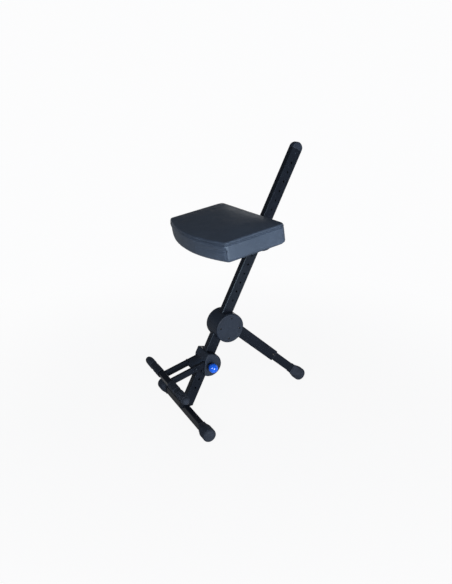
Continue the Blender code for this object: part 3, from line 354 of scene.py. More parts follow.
# A noise in cycles per metre, a cell texture, a bump from either of them, and a finish made of them
Noise = namedtuple("Noise", "scale detail roughness stretch", defaults=(4.0, 0.55, (1, 1, 1)))
Cells = namedtuple("Cells", "scale")
Bump = namedtuple("Bump", "texture distance strength")
Finish = namedtuple("Finish", "name colour tone spread sheen roughness bumps inputs")

# The part of a noise's range in which most of its values lie
NOISE_RANGE = (0.3, 0.7)
WOOD_GRAIN = Noise(40, 8, 0.7, (0.6, 6, 6))

FINISHES = {
    # Satin powder coat with a fine orange peel
    "coated_steel": Finish(
        "coated_steel_finish", "coated", tone=Noise(22), spread=0.12, sheen=Noise(60), roughness=(0.22, 0.30),
        bumps=[Bump(Noise(700, 2), 0.00004, 0.35)],
        inputs={"Specular IOR Level": 0.20, "Specular Tint": (0.62, 0.82, 1, 1)}),
    # Spark-eroded moulding texture with a satin face
    "black_plastic": Finish(
        "moulded_plastic_finish", "plastic", tone=Noise(30), spread=0.10, sheen=Noise(80), roughness=(0.44, 0.54),
        bumps=[Bump(Noise(1400, 3, 0.7), 0.00012, 0.8)], inputs={"Specular IOR Level": 0.22}),
    # Matt rubber with a dusty bloom
    "black_rubber": Finish(
        "rubber_finish", "rubber", tone=Noise(45, 6), spread=0.22, sheen=Noise(70), roughness=(0.62, 0.78),
        bumps=[Bump(Noise(1100, 4, 0.65), 0.00015, 0.7)], inputs={"Specular IOR Level": 0.15}),
    # Fine leather grain in vinyl
    "black_vinyl": Finish(
        "vinyl_finish", "vinyl", tone=Noise(14, 5), spread=0.10, sheen=Noise(35), roughness=(0.36, 0.46),
        bumps=[Bump(Cells(620), 0.00016, 0.55), Bump(Noise(260, 5, 0.6), 0.0002, 0.45)],
        inputs={"Specular IOR Level": 0.46, "Specular Tint": (0.7, 0.87, 1, 1)}),
    # Polished phenolic ball
    "blue_knob": Finish(
        "knob_finish", "knob", tone=Noise(90), spread=0.08, sheen=Noise(200), roughness=(0.12, 0.2),
        bumps=[Bump(Noise(400, 2), 0.00003, 0.3)], inputs={"Coat Weight": 0.3, "Coat Roughness": 0.08}),
    # Zinc plate with faint turning marks
    "zinc_steel": Finish(
        "zinc_finish", "zinc", tone=Noise(120, 5), spread=0.12, sheen=Noise(300), roughness=(0.26, 0.42),
        bumps=[Bump(Noise(1600, 2, 0.5, (4, 1, 1)), 0.00003, 0.5)], inputs={"Metallic": 1.0}),
    # Black oxide on small screws and bushings
    "dark_screw": Finish(
        "blackened_steel_finish", "blackened", tone=Noise(200), spread=0.2, sheen=Noise(400),
        roughness=(0.3, 0.42), bumps=[Bump(Noise(1500, 2), 0.00003, 0.4)], inputs={"Specular IOR Level": 0.4}),
    # Raw plywood with grain along X
    "seat_board": Finish(
        "plywood_finish", "board", tone=WOOD_GRAIN, spread=0.3, sheen=WOOD_GRAIN, roughness=(0.55, 0.75),
        bumps=[Bump(WOOD_GRAIN, 0.0002, 0.5)], inputs={}),
}
MATERIALS = {}


def fresh_material(name):
    material = bpy.data.materials.new(name)
    material.use_nodes = True
    tree = material.node_tree
    return material, tree, tree.nodes["Principled BSDF"]


def feed(tree, node, inputs):
    """Links the sockets among a node's inputs, and sets the others."""
    for name, value in inputs.items():
        if isinstance(value, bpy.types.NodeSocket):
            tree.links.new(value, node.inputs[name])
        else:
            node.inputs[name].default_value = value


def add_node(tree, kind, output, inputs, **settings):
    """Adds a node with its settings and inputs, and gives back one of its outputs."""
    node = tree.nodes.new("ShaderNode" + kind)
    for key, value in settings.items():
        setattr(node, key, value)
    feed(tree, node, inputs)
    return node.outputs[output]


def mapped(tree, source, across, values, interpolation="LINEAR"):
    """Maps a range of a value onto another."""
    limits = dict(zip(("From Min", "From Max", "To Min", "To Max"), (*across, *values)))
    return add_node(tree, "MapRange", "Result", {"Value": source, **limits},
                    interpolation_type=interpolation)


def combined(tree, operation, first, second):
    return add_node(tree, "Math", "Value", {0: first, 1: second}, operation=operation)


def texture_value(tree, texture):
    """The value of a noise or cell texture on object coordinates."""
    place = add_node(tree, "TexCoord", "Object", {})
    if isinstance(texture, Cells):
        return add_node(tree, "TexVoronoi", "Distance", {"Vector": place, "Scale": texture.scale})
    place = add_node(tree, "Mapping", "Vector", {"Vector": place, "Scale": texture.stretch})
    return add_node(tree, "TexNoise", "Fac", {
        "Vector": place, "Scale": texture.scale, "Detail": texture.detail, "Roughness": texture.roughness})


def material_of(finish, colours):
    """A finish's material: textures vary its colour and roughness, and its bumps add up."""
    material, tree, shader = fresh_material(finish.name)
    blend = add_node(tree, "ValToRGB", "Color", {"Fac": texture_value(tree, finish.tone)})
    for stop, position, sign in zip(blend.node.color_ramp.elements, NOISE_RANGE, (-1, 1)):
        stop.position = position
        stop.color = (*(c * (1 + sign * finish.spread) for c in colours), 1)
    rough = mapped(tree, texture_value(tree, finish.sheen), NOISE_RANGE, finish.roughness)
    below = {}
    for texture, distance, strength in finish.bumps:
        height = texture_value(tree, texture)
        below = {"Normal": add_node(tree, "Bump", "Normal", {
            "Height": height, "Distance": distance, "Strength": strength, **below})}
    feed(tree, shader, {"Base Color": blend, "Roughness": rough, **finish.inputs, **below})
    return material


def finishes():
    """Makes the finishes once, from the colours in the scene's properties."""
    if not MATERIALS:
        chosen = bpy.context.scene.stool_finish
        for key, finish in FINISHES.items():
            MATERIALS[key] = material_of(finish, getattr(chosen, finish.colour))
    return MATERIALS


def slot_of(node):
    """The material slot that the record gives a node."""
    return next(part["material_slot"] for part in frame["record"]["subparts"] if part["node"] == node)


def refinish(*nodes, finish=None):
    """Puts a finish on CAD nodes whose own form is shown."""
    for node in nodes:
        for slot in frame["nodes"][node].material_slots:
            slot.material = finishes()[finish or slot_of(node)]


COPY_TOUCH = 1e-5


def smooth_copies(*nodes, sharp=SHARP, finish=None):
    """Shows CAD nodes as merged copies, so that their rounded corners shade smoothly."""
    for node in nodes:
        bm = bmesh.new()
        bm.from_mesh(frame["nodes"][node].data)
        bmesh.ops.remove_doubles(bm, verts=bm.verts, dist=COPY_TOUCH)
        make_piece(node + "_skin", bm, frame["nodes"][node]["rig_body"], slot_of(node), replaces=(node,),
                   sharp=sharp, finish=finish)


# Pieces


class STOOL_OT_mast(bpy.types.Operator):
    """Finishes the mast tube, its cap and the base bar"""

    bl_idname = "stool.mast"
    bl_label = "Mast and base bar"

    def execute(self, context):
        smooth_copies("mast_tube", "base_bar")
        smooth_copies("mast_cap", sharp=SOFT_SHARP)
        return {"FINISHED"}


# A boot's mouth, as distance from the mouth and growth: inside, and outside as a share of its lip
BOOT_BORE = ((0.0012, FIT), (0.0, 0.0010))
BOOT_BEAD = ((0.0, 0.72), (0.0008, 1), (0.0040, 1), (0.0052, 0.84))
FLARE_STEPS = 12
LEG_TUBE_CORNER_SHARE = 0.75


def boot_sections(length, socket, lip, radius, rounding, flare):
    """Sections of a boot, from the bottom of its socket out to the mouth and on to its closed end."""
    walls = [(socket, FIT), *BOOT_BORE, *((height, lip * share) for height, share in BOOT_BEAD)]
    sections = [(height, growth, 0, radius) for height, growth in walls]
    start, growth = walls[-1]
    for i in range(1, FLARE_STEPS + 1):
        t = i / FLARE_STEPS
        sections.append((start + (flare - start) * t, growth, ease(t), radius))
    for a in quarter(ROUND_STEPS):
        shrink = rounding * (1 - math.cos(a))
        sections.append((length - rounding + rounding * math.sin(a), lip, 1.0, radius - shrink))
    return sections


class STOOL_OT_boots(bpy.types.Operator):
    """Models the rubber boots on the base bar and on the rear leg"""

    bl_idname = "stool.boots"
    bl_label = "Rubber boots"

    def execute(self, context):
        sizes = context.scene.stool_sizes
        for side, word in SIDES:
            self.base_boot(sizes, side, word)
        self.leg_boot(sizes)
        return {"FINISHED"}

    def base_boot(self, sizes, side, word):
        node = f"base_boot_{word}"
        low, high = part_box(node)
        bar_low, bar_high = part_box("base_bar")
        centre = (bar_low + bar_high) / 2
        mouth = low.x if side > 0 else high.x
        length = high.x - low.x
        socket = bar_high.x - abs(mouth) + FIT
        sections = boot_sections(length, socket, sizes.boot_lip, high.z - centre.z, sizes.boot_rounding,
                                 length * sizes.boot_flare)
        bm = lofted(sections, bar_high.z - bar_low.z, bar_high.y - bar_low.y, sizes.tube_corner)
        rest_on_floor(make_piece(node + "_rubber", bm, "mast", "black_rubber",
                                 sideways(side, (mouth, centre.y, centre.z)), (node,), sharp=SOFT_SHARP))

    def leg_boot(self, sizes):
        along = tilted(Vector(JOINTS["leg_fold"]["pos_m"]), -math.acos(LEG_AXIS.z))
        low, high = span_in("leg_boot", along)
        tube_low, tube_high = span_in("leg_inner_tube", along)
        axis_y = (tube_low.y + tube_high.y) / 2
        radius = (high.x - low.x) / 2
        length = reach_of_leg(along, axis_y, radius, sizes.leg_boot_rounding) - low.z
        sections = boot_sections(length, tube_high.z - low.z + FIT, sizes.leg_boot_lip, radius,
                                 sizes.leg_boot_rounding, length * sizes.leg_boot_flare)
        bm = lofted(sections, tube_high.x - tube_low.x, tube_high.y - tube_low.y,
                    sizes.tube_corner * LEG_TUBE_CORNER_SHARE)
        rest_on_floor(make_piece("leg_boot_rubber", bm, "leg_extension", "black_rubber",
                                 along @ Matrix.Translation((0, axis_y, low.z)), ("leg_boot",), sharp=SOFT_SHARP))


def reach_of_leg(along, axis_y, radius, rounding):
    """Distance along the leg at which its rounded boot just presses on the floor."""
    axis_point = along @ Vector((0, axis_y, 0))
    drop = (radius - rounding) * math.sqrt(1 - LEG_AXIS.z ** 2) + rounding
    return rounding + (axis_point.z - drop + SOLE_PRESS) / -LEG_AXIS.z


def rest_on_floor(piece):
    """Flattens a sole where it would pass through the floor."""
    for vertex in piece.data.vertices:
        vertex.co.z = max(vertex.co.z, 0.0)


# A hub cover's raised rim, as drop below its outer face and distance in from its edge
COVER_RIM = ((0.0008, 0.0064), (0.0006, 0.0058), (0.0001, 0.0053), (0, 0.0048), (0, 0.0021), (0.0004, 0.0012),
             (0.0013, 0.0003), (0.0021, 0))
PANEL_DROP = COVER_RIM[0][0]
COVER_EDGE = 0.0006
SPIGOT_STEP, SPIGOT_WALL, SPIGOT_CHAMFER = 0.0038, 0.0025, 0.0004
COVER_STEPS, POCKET_STEPS, HEAD_STEPS = 96, 32, 24
SCREW_COUNT, FIRST_SCREW_DEGREES = 4, 82
POCKET_DEPTH, POCKET_GAP = 0.004, 0.0005
HEAD_HEIGHT, HEAD_ROUNDING, HEAD_TAPER_SHARE = 0.0012, 0.0004, 0.92
CROSS_HEIGHT, CROSS_THICKNESS, CROSS_LENGTH_SHARE, CROSS_WIDTH_SHARE = 0.00125, 0.0002, 1.1, 0.22


class STOOL_OT_hub(bpy.types.Operator):
    """Finishes the hub's drum and models its covers with their screws"""

    bl_idname = "stool.hub"
    bl_label = "Hub"

    def execute(self, context):
        sizes = context.scene.stool_sizes
        smooth_copies("hub_housing", "hub_axle_bolt", "leg_stop_pin", "hub_clamp_bolt_upper", "hub_clamp_bolt_lower")
        refinish("hub_axle_nut", "hub_clamp_nut_upper", "hub_clamp_nut_lower")
        for side, word in SIDES:
            self.cover(side, word, sizes)
        return {"FINISHED"}

    def cover(self, side, word, sizes):
        low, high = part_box(f"hub_cover_{word}")
        middle = (low + high) / 2
        radius = (high.y - low.y) / 2
        inner, outer = sorted((abs(low.x), abs(high.x)))
        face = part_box("hub_housing")[1].x + FIT
        spigot = radius - SPIGOT_STEP
        profile = [(outer - PANEL_DROP, 0)] + [(outer - drop, radius - inset) for drop, inset in COVER_RIM]
        profile += [(face + COVER_EDGE, radius), (face, radius - COVER_EDGE), (face, spigot),
                    (inner + SPIGOT_CHAMFER, spigot), (inner, spigot - SPIGOT_CHAMFER),
                    (inner, spigot - SPIGOT_WALL), (face, spigot - SPIGOT_WALL), (face, 0)]
        piece = make_piece(f"hub_cover_{word}_disc", spun(profile, COVER_STEPS), "mast", "black_plastic",
                           sideways(side, (0, middle.y, middle.z)), (f"hub_cover_{word}",), sharp=COVER_SHARP)
        pockets = bmesh.new()
        screws = bmesh.new()
        pocket = sizes.cover_screw + POCKET_GAP
        for i in range(SCREW_COUNT):
            angle = math.radians(FIRST_SCREW_DEGREES + 360 / SCREW_COUNT * i)
            y, z = sizes.cover_screw_ring * math.cos(angle), sizes.cover_screw_ring * math.sin(angle)
            spot = sideways(side, (side * (outer - PANEL_DROP), middle.y + y, middle.z + z))
            bmesh.ops.create_cone(pockets, cap_ends=True, segments=POCKET_STEPS, radius1=pocket, radius2=pocket,
                                  depth=POCKET_DEPTH, matrix=spot)
            self.screw_head(screws, spot @ Matrix.Translation((0, 0, -POCKET_DEPTH / 2)), sizes.cover_screw)
        cut_out(piece, pockets)
        make_piece(f"hub_cover_{word}_screws", screws, "mast", "zinc_steel", finish="dark_screw")

    def screw_head(self, bm, place, radius):
        """A rounded head with a cross on it, seated in its pocket."""
        head = bmesh.new()
        bmesh.ops.create_cone(head, cap_ends=True, segments=HEAD_STEPS, radius1=radius,
                              radius2=radius * HEAD_TAPER_SHARE, depth=HEAD_HEIGHT,
                              matrix=Matrix.Translation((0, 0, HEAD_HEIGHT / 2)))
        rim = [edge for edge in head.edges if all(v.co.z > HEAD_HEIGHT / 2 for v in edge.verts)]
        bevelled(head, rim, HEAD_ROUNDING, 2)
        for turn in (0, math.pi / 2):
            bar = Matrix.Rotation(turn, 4, "Z") @ Matrix.Translation((0, 0, CROSS_HEIGHT))
            size = (radius * CROSS_LENGTH_SHARE, radius * CROSS_WIDTH_SHARE, CROSS_THICKNESS, 1)
            bmesh.ops.create_cube(head, size=1, matrix=bar @ Matrix.Diagonal(size))
        head.transform(place)
        merge_into(bm, head)


class STOOL_OT_leg(bpy.types.Operator):
    """Finishes the folding leg"""

    bl_idname = "stool.leg"
    bl_label = "Rear leg"

    def execute(self, context):
        smooth_copies("leg_outer_tube", "leg_inner_tube", "leg_bush")
        refinish("leg_fork_left", "leg_fork_right")
        smooth_copies("leg_lock_screw", finish="dark_screw")
        return {"FINISHED"}


class STOOL_OT_carriages(bpy.types.Operator):
    """Finishes both carriages, their bushings, springs and pins"""

    bl_idname = "stool.carriages"
    bl_label = "Carriages"

    def execute(self, context):
        for word in ("footrest", "seat"):
            smooth_copies(f"{word}_carriage", f"{word}_pin_spring", f"{word}_lock_pin")
            smooth_copies(f"{word}_pin_bushing", finish="dark_screw")
        smooth_copies("footrest_hinge_bolt", finish="coated_steel")
        refinish("footrest_hinge_nut", finish="coated_steel")
        smooth_copies("seat_bolt_front", "seat_bolt_rear")
        refinish("seat_nut_front", "seat_nut_rear")
        return {"FINISHED"}


KNOB_NECK_SHARE = 0.394
KNOB_BORE, KNOB_BORE_DEPTH, KNOB_NECK_EDGE = 0.0033, 0.0045, 0.0006
KNOB_STEPS, KNOB_ARC_STEPS = 64, 40


class STOOL_OT_knobs(bpy.types.Operator):
    """Models the ball knobs of the lock pins"""

    bl_idname = "stool.knobs"
    bl_label = "Ball knobs"

    def execute(self, context):
        for word in ("footrest", "seat"):
            low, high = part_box(f"{word}_knob")
            radius = (high.z - low.z) / 2
            centre = Vector((high.x - radius, (low.y + high.y) / 2, (low.z + high.z) / 2))
            neck = radius * KNOB_NECK_SHARE
            start = low.x - centre.x
            meets = math.asin(neck / radius)
            profile = [(start + KNOB_BORE_DEPTH, KNOB_BORE), (start, KNOB_BORE), (start, neck - KNOB_NECK_EDGE),
                       (start + KNOB_NECK_EDGE, neck)]
            for i in range(KNOB_ARC_STEPS):
                a = meets + (math.pi - meets) * i / KNOB_ARC_STEPS
                profile.append((-radius * math.cos(a), radius * math.sin(a)))
            profile.append((radius, 0))
            make_piece(f"{word}_ball_knob", spun(profile, KNOB_STEPS), f"{word}_knob", "blue_knob", sideways(1, centre),
                       (f"{word}_knob",), sharp=ROUND_SHARP)
        return {"FINISHED"}


# A sleeve's edges, as distance along it and distance in from the collar's outside
SLEEVE_BORE = ((0.001, FIT), (0, 0.0008))
COLLAR_MOUTH = ((0, 0.0010), (0.0004, 0.0003), (0.0013, 0))
COLLAR_END = ((-0.0014, 0), (-0.0004, 0.0003), (0, 0.0007))
COLLAR_FILLET = 0.0004
# One rib, as shares of the pitch and of the rib's height
RIB_PROFILE = ((0.0, 0.0), (0.10, 0.55), (0.20, 0.95), (0.32, 1.0), (0.44, 0.95), (0.54, 0.55), (0.64, 0.0))


class STOOL_OT_footrest(bpy.types.Operator):
    """Finishes the footrest's arms and cross bar and models its rubber sleeves"""

    bl_idname = "stool.footrest"
    bl_label = "Footrest"

    def execute(self, context):
        sizes = context.scene.stool_sizes
        smooth_copies("footrest_arm_left", "footrest_arm_right", "footrest_crossbar")
        hinge = Vector(JOINTS["footrest_fold"]["pos_m"])
        reach = centre_of("footrest_crossbar") - hinge
        line = tilted(hinge, math.atan2(reach.z, reach.y) - math.pi)
        bar_low, bar_high = span_in("footrest_crossbar", line)
        middle = (bar_low + bar_high) / 2
        deep, tall = bar_high.y - bar_low.y, bar_high.z - bar_low.z
        for side, word in SIDES:
            node = f"footrest_sleeve_{word}"
            low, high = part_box(node)
            mouth, tip = sorted((abs(low.x), abs(high.x)))
            sections = self.sections(sizes, tip - mouth, bar_high.x - mouth + FIT, (deep + tall) / 4)
            bm = lofted(sections, tall, deep, sizes.tube_corner)
            place = line @ sideways(side, (side * mouth, middle.y, middle.z))
            make_piece(node + "_rubber", bm, "footrest", "black_rubber", place, (node,), sharp=SOFT_SHARP)
        return {"FINISHED"}

    def sections(self, sizes, length, socket, half):
        """Sections of a sleeve, from the bottom of its socket to the mouth and on to its ribbed tip."""
        wall, tip_start = sizes.sleeve_wall, length - sizes.sleeve_tip
        thick = wall + sizes.sleeve_step
        collar = sizes.sleeve_collar

        def outside(height, growth):
            share = (height - socket) / (tip_start - socket)
            roundness = sizes.sleeve_roundness + (1 - sizes.sleeve_roundness) * ease(share)
            return (height, growth, roundness, half + growth)

        sections = [(height, growth, 0, half) for height, growth in ((socket, FIT), *SLEEVE_BORE)]
        sections += [outside(height, thick - inset) for height, inset in COLLAR_MOUTH]
        sections += [outside(collar + height, thick - inset) for height, inset in COLLAR_END]
        sections.append(outside(collar + COLLAR_FILLET, wall))
        first_rib = tip_start - sizes.rib_pitch * sizes.rib_count
        for i in range(sizes.rib_count):
            for share, rise in RIB_PROFILE:
                sections.append(outside(first_rib + sizes.rib_pitch * (i + share), wall + sizes.rib_height * rise))
        for a in quarter(ROUND_STEPS):
            shrink = sizes.sleeve_draw_in * (1 - math.cos(a))
            sections.append(outside(tip_start + sizes.sleeve_tip * math.sin(a), wall - shrink))
        return sections


BOW_CUTS = 23


def cushion_form(sizes, low, high, inset, bottom, top):
    """A seat-shaped block inside the cushion's box: straight sides and back, a bowed front and round corners."""
    half, front, rear = high.x - inset, low.y + inset, high.y - inset
    bm = rectangle(2 * half, rear - front)
    bmesh.ops.translate(bm, vec=(0, (front + rear) / 2, bottom), verts=bm.verts)
    edge = min(bm.edges, key=lambda e: e.verts[0].co.y + e.verts[1].co.y)
    bmesh.ops.subdivide_edges(bm, edges=[edge], cuts=BOW_CUTS)
    for vertex in bm.verts:
        if abs(vertex.co.y - front) < TOUCH:
            vertex.co.y = front + sizes.cushion_bow * (vertex.co.x / half) ** 2
    for radius, at_rear in ((sizes.cushion_front_corner, False), (sizes.cushion_rear_corner, True)):
        corners = [v for v in bm.verts if abs(abs(v.co.x) - half) < TOUCH
                   and (abs(v.co.y - rear) < TOUCH) == at_rear and (at_rear or v.co.y < (front + rear) / 2)]
        bevelled(bm, corners, radius, CORNER_SEGMENTS, affect="VERTICES")
    bm.faces.ensure_lookup_table()
    grown = bmesh.ops.extrude_face_region(bm, geom=[bm.faces[0]])["geom"]
    moved = [item for item in grown if isinstance(item, bmesh.types.BMVert)]
    bmesh.ops.translate(bm, vec=(0, 0, top - bottom), verts=moved)
    bmesh.ops.recalc_face_normals(bm, faces=bm.faces)
    return bm


def dip(distance, width):
    """A smooth hollow: one at its middle, and nothing beyond about twice its width."""
    return math.exp(-(distance / width) ** 2)


# The cushion: the gap under it, its shares of crown and of room to swell, and where crown and waist set in
CUSHION_LIFT = 0.0006
SWELL_ROOM_SHARE, CROWN_SHARE, CROWN_POWER = 0.2, 0.9, 0.8
CROWN_FROM, CROWN_RATE = 0.7, 6
WAIST_FROM, WAIST_RATE = 0.75, 4
BOARD_ROOM, EDGE_SEGMENTS = 0.02, 4

# The cloth: its pressure, stiffness, frames and rounds of evening, and what the board and the top seam hold
PRESSURE, STIFFNESS, BENDING = 4, 40, 4
SWELL_FRAMES, EVENING_ROUNDS = 20, 14
HELD_BELOW, HELD_AT_RIM, HELD_SLOPES = 0.003, 0.006, (0.2, 0.97)

# The seams: widths of a stitch line and a corner seam, the ridge between stitch lines, and where they fade
STITCH_WIDTH, STITCH_BAND, RIDGE_SHARE, STEEP_SHARE = 0.0014, 0.004, 0.6, 0.6
CORNER_SEAM_WIDTH, CORNER_SEAM_SHARE = 0.0028, 1.5
UPRIGHT_RATE, BODY_RATE, UNDER_SEAM_RATE = 1.3, 8, 150

# The fold in the front: its hollow, the ridge over it, and its level at the corner and fall towards the middle
FOLD_DEPTH, FOLD_WIDTH = 0.0042, 0.0045
FOLD_RIDGE, FOLD_RIDGE_RISE, FOLD_RIDGE_WIDTH = 0.0022, 0.011, 0.005
FOLD_LEVEL, FOLD_FALL = 0.56, 0.11
FACES_FRONT, FACES_UP, FRONT_RATE, FRONT_FROM = -0.4, 0.5, 2.2, 0.9

# Ripples of the cover, and the two small hollows in its top, in the seat's own frame
RIPPLE_DEPTH, RIPPLE_RATE = 0.0005, 28
HOLLOWS = ((-0.1297, 0.0536), (-0.1161, -0.0761))
HOLLOW_DEPTH, HOLLOW_WIDTH = 0.0014, 0.010

# The hem and its staples
HEM_INSET, HEM_GAP, HEM_CUT = 0.006, 0.0001, 0.01
NOTCH_GAP, NOTCH_REACH, NOTCH_HEIGHT = 0.008, 0.06, 0.02
STAPLE_SIZE, STAPLE_ROUNDING, STAPLE_ROW_SHARE = (0.010, 0.0012, 0.0007), 0.0002, 0.6
STAPLE_MARGIN, STAPLE_SIDE_START, STAPLE_BRACKET_GAP, STAPLE_ASKEW = 0.02, 0.035, 0.04, 0.22


class STOOL_OT_seat(bpy.types.Operator):
    """Models the padded cushion and its hem, and finishes the board, bracket and screws under it"""

    bl_idname = "stool.seat"
    bl_label = "Seat"

    def execute(self, context):
        sizes = context.scene.stool_sizes
        refinish("seat_bracket", "seat_board")
        smooth_copies("seat_screw_1", "seat_screw_2", "seat_screw_3", "seat_screw_4")
        plane = tilted(centre_of("seat_board"), sizes.seat_tilt)
        low, high = span_in("seat_cushion", plane)
        board_low, board_high = span_in("seat_board", plane)
        self.cushion(sizes, low, high, board_low, board_high, plane)
        self.hem(sizes, low, high, board_low.z, plane)
        self.staples(sizes, low, high, board_low.z, plane)
        return {"FINISHED"}

    def cushion(self, sizes, low, high, board_low, board_high, plane):
        """The padded cover, with the board let into its underside."""
        piece = self.padding(sizes, low, high)
        self.sew(piece, sizes, low, high)
        piece.data.transform(plane)
        cut_out(piece, cushion_form(sizes, low, high, sizes.board_inset, board_low.z - BOARD_ROOM,
                                    board_high.z + FIT), plane)
        shade(piece, "black_vinyl", ROUND_SHARP)
        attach(piece, "seat_carriage")
        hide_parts("seat_cushion")

    def padding(self, sizes, low, high):
        """The cushion's skin, swollen by its padding, with a crown on top."""
        room, crown = sizes.cushion_cap * SWELL_ROOM_SHARE, sizes.cushion_crown
        bm = cushion_form(sizes, low, high, room, low.z + CUSHION_LIFT, high.z - crown)
        level_edges = [edge for edge in bm.edges if abs(edge.verts[0].co.z - edge.verts[1].co.z) < TOUCH]
        bevelled(bm, level_edges, sizes.cushion_edge, EDGE_SEGMENTS)
        piece = object_from("seat_cushion_padding", bm)
        modify(piece, "REMESH", mode="VOXEL", voxel_size=sizes.cushion_voxel, use_smooth_shade=True)
        self.swell(piece, sizes, low, high.z - crown)
        for vertex in piece.data.vertices:
            x, y, z = vertex.co
            across = max(0.0, 1 - (x / high.x) ** 2)
            along = max(0.0, 1 - ((2 * y - low.y - high.y) / (high.y - low.y)) ** 2)
            level = (z - low.z) / (high.z - low.z)
            rise = (across * along) ** CROWN_POWER * ease((level - CROWN_FROM) * CROWN_RATE)
            vertex.co.z += crown * CROWN_SHARE * rise
            side = ease(WAIST_RATE * (abs(x) / high.x - WAIST_FROM))
            vertex.co.x -= math.copysign(sizes.cushion_waist * along * side, x)
            back = ease(WAIST_RATE * ((y - low.y) / (high.y - low.y) - WAIST_FROM))
            vertex.co.y -= sizes.cushion_waist * across * back
        modify(piece, "SUBSURF", levels=1, render_levels=1)
        return piece

    def held(self, vertex, under, rim):
        """Whether the board or the top seam holds this point of the cover."""
        top_edge = vertex.co.z > rim - HELD_AT_RIM and HELD_SLOPES[0] < vertex.normal.z < HELD_SLOPES[1]
        return vertex.co.z < under + HELD_BELOW or top_edge

    def swell(self, piece, sizes, low, rim):
        """Blows the skin up with cloth pressure and limits how far each point moves."""
        before = [vertex.co.copy() for vertex in piece.data.vertices]
        pinned = piece.vertex_groups.new(name="pinned")
        pinned.add([v.index for v in piece.data.vertices if self.held(v, low.z, rim)], 1.0, "ADD")
        cloth = piece.modifiers.new("Cloth", "CLOTH")
        settings = cloth.settings
        settings.use_pressure = True
        settings.uniform_pressure_force = PRESSURE
        settings.tension_stiffness = settings.compression_stiffness = STIFFNESS
        settings.bending_stiffness = BENDING
        settings.vertex_group_mass = "pinned"
        settings.effector_weights.gravity = 0
        cloth.collision_settings.use_collision = False
        scene = bpy.context.scene
        for step in range(1, SWELL_FRAMES + 1):
            scene.frame_set(step)
        apply_modifiers(piece)
        scene.frame_set(1)
        moves = [vertex.co - start for vertex, start in zip(piece.data.vertices, before)]
        moves = [move.normalized() * min(move.length, sizes.cushion_cap) for move in moves]
        for vertex, start, move in zip(piece.data.vertices, before, self.evened(piece.data, moves)):
            vertex.co = start + move

    def evened(self, mesh, moves):
        """Averages each point's move with its neighbours', so that the padding swells without creases."""
        for _ in range(EVENING_ROUNDS):
            totals = [move.copy() for move in moves]
            counts = [1] * len(moves)
            for edge in mesh.edges:
                for here, there in (edge.vertices, reversed(edge.vertices)):
                    totals[here] += moves[there]
                    counts[here] += 1
            moves = [total / count for total, count in zip(totals, counts)]
        return moves

    def sew(self, piece, sizes, low, high):
        """Presses in the double seam under the top edge, the corner seams, the front fold and the hollows."""
        rim = high.z - sizes.cushion_crown
        seam = rim - sizes.seam_drop
        half_spread = sizes.seam_spread / 2
        bm = bmesh.new()
        bm.from_mesh(piece.data)
        band = [edge for edge in bm.edges
                if abs(edge.verts[0].co.z - edge.verts[1].co.z) > STEEP_SHARE * edge.calc_length()
                and all(abs(v.co.z - seam) < half_spread + STITCH_BAND for v in edge.verts)]
        bmesh.ops.subdivide_edges(bm, edges=band, cuts=1, use_grid_fill=True)
        corner_x = high.x - sizes.cushion_front_corner
        corner_y = low.y + sizes.cushion_bow * (corner_x / high.x) ** 2
        bm.normal_update()
        for vertex, normal in [(vertex, vertex.normal.copy()) for vertex in bm.verts]:
            x, y, z = vertex.co
            upright = max(0.0, 1 - UPRIGHT_RATE * abs(normal.z))
            level = (z - low.z) / (rim - low.z)
            body = ease(level * BODY_RATE) * ease((seam - half_spread - z) * UNDER_SEAM_RATE)
            stitches = (dip(z - seam - half_spread, STITCH_WIDTH) + dip(z - seam + half_spread, STITCH_WIDTH)
                        - RIDGE_SHARE * dip(z - seam, STITCH_WIDTH))
            depth = sizes.seam_depth * stitches * upright
            if normal.y < FACES_FRONT:
                run = max(0.0, high.x - abs(x)) / sizes.fold_reach
                above = (level - FOLD_LEVEL + FOLD_FALL * run) * (rim - low.z)
                depth += self.fold(above) * ease(1 - run) * ease(-FRONT_RATE * normal.y - FRONT_FROM)
            depth -= RIPPLE_DEPTH * noise.noise(Vector((x, y, z)) * RIPPLE_RATE) * upright * body
            if normal.z > FACES_UP:
                for hollow_x, hollow_y in HOLLOWS:
                    depth += HOLLOW_DEPTH * dip(math.hypot(x - hollow_x, y - hollow_y), HOLLOW_WIDTH)
            corner_seam = dip(math.hypot(abs(x) - corner_x, y - corner_y), CORNER_SEAM_WIDTH)
            vertex.co.y += CORNER_SEAM_SHARE * sizes.seam_depth * corner_seam * body
            vertex.co -= normal * depth
        bm.to_mesh(piece.data)
        bm.free()

    def fold(self, above):
        """Depth of the front fold at a distance above its line: a hollow with a ridge over it."""
        return FOLD_DEPTH * dip(above, FOLD_WIDTH) - FOLD_RIDGE * dip(above - FOLD_RIDGE_RISE, FOLD_RIDGE_WIDTH)

    def hem(self, sizes, low, high, under, plane):
        """The cover's edge, folded under the board, with a gap where the bracket passes."""
        bm = cushion_form(sizes, low, high, HEM_INSET, under - sizes.hem_thickness, under - HEM_GAP)
        piece = make_piece("seat_hem", bm, "seat_carriage", "black_vinyl", plane)
        inner = HEM_INSET + sizes.hem_width
        cut_out(piece, cushion_form(sizes, low, high, inner, under - HEM_CUT, under + HEM_CUT), plane)
        bracket_low, bracket_high = span_in("seat_bracket", plane)
        wide = bracket_high.x - bracket_low.x + NOTCH_GAP
        notch = bmesh.new()
        bmesh.ops.create_cube(notch, size=1, matrix=plane @ Matrix.Translation((0, high.y - NOTCH_REACH / 3, under))
                              @ Matrix.Diagonal((wide, NOTCH_REACH, NOTCH_HEIGHT, 1)))
        cut_out(piece, notch)

    def row(self, start, end, pitch):
        """Evenly spaced values from start to end, about a pitch apart."""
        count = round((end - start) / pitch)
        return [start + (end - start) * i / count for i in range(count + 1)]

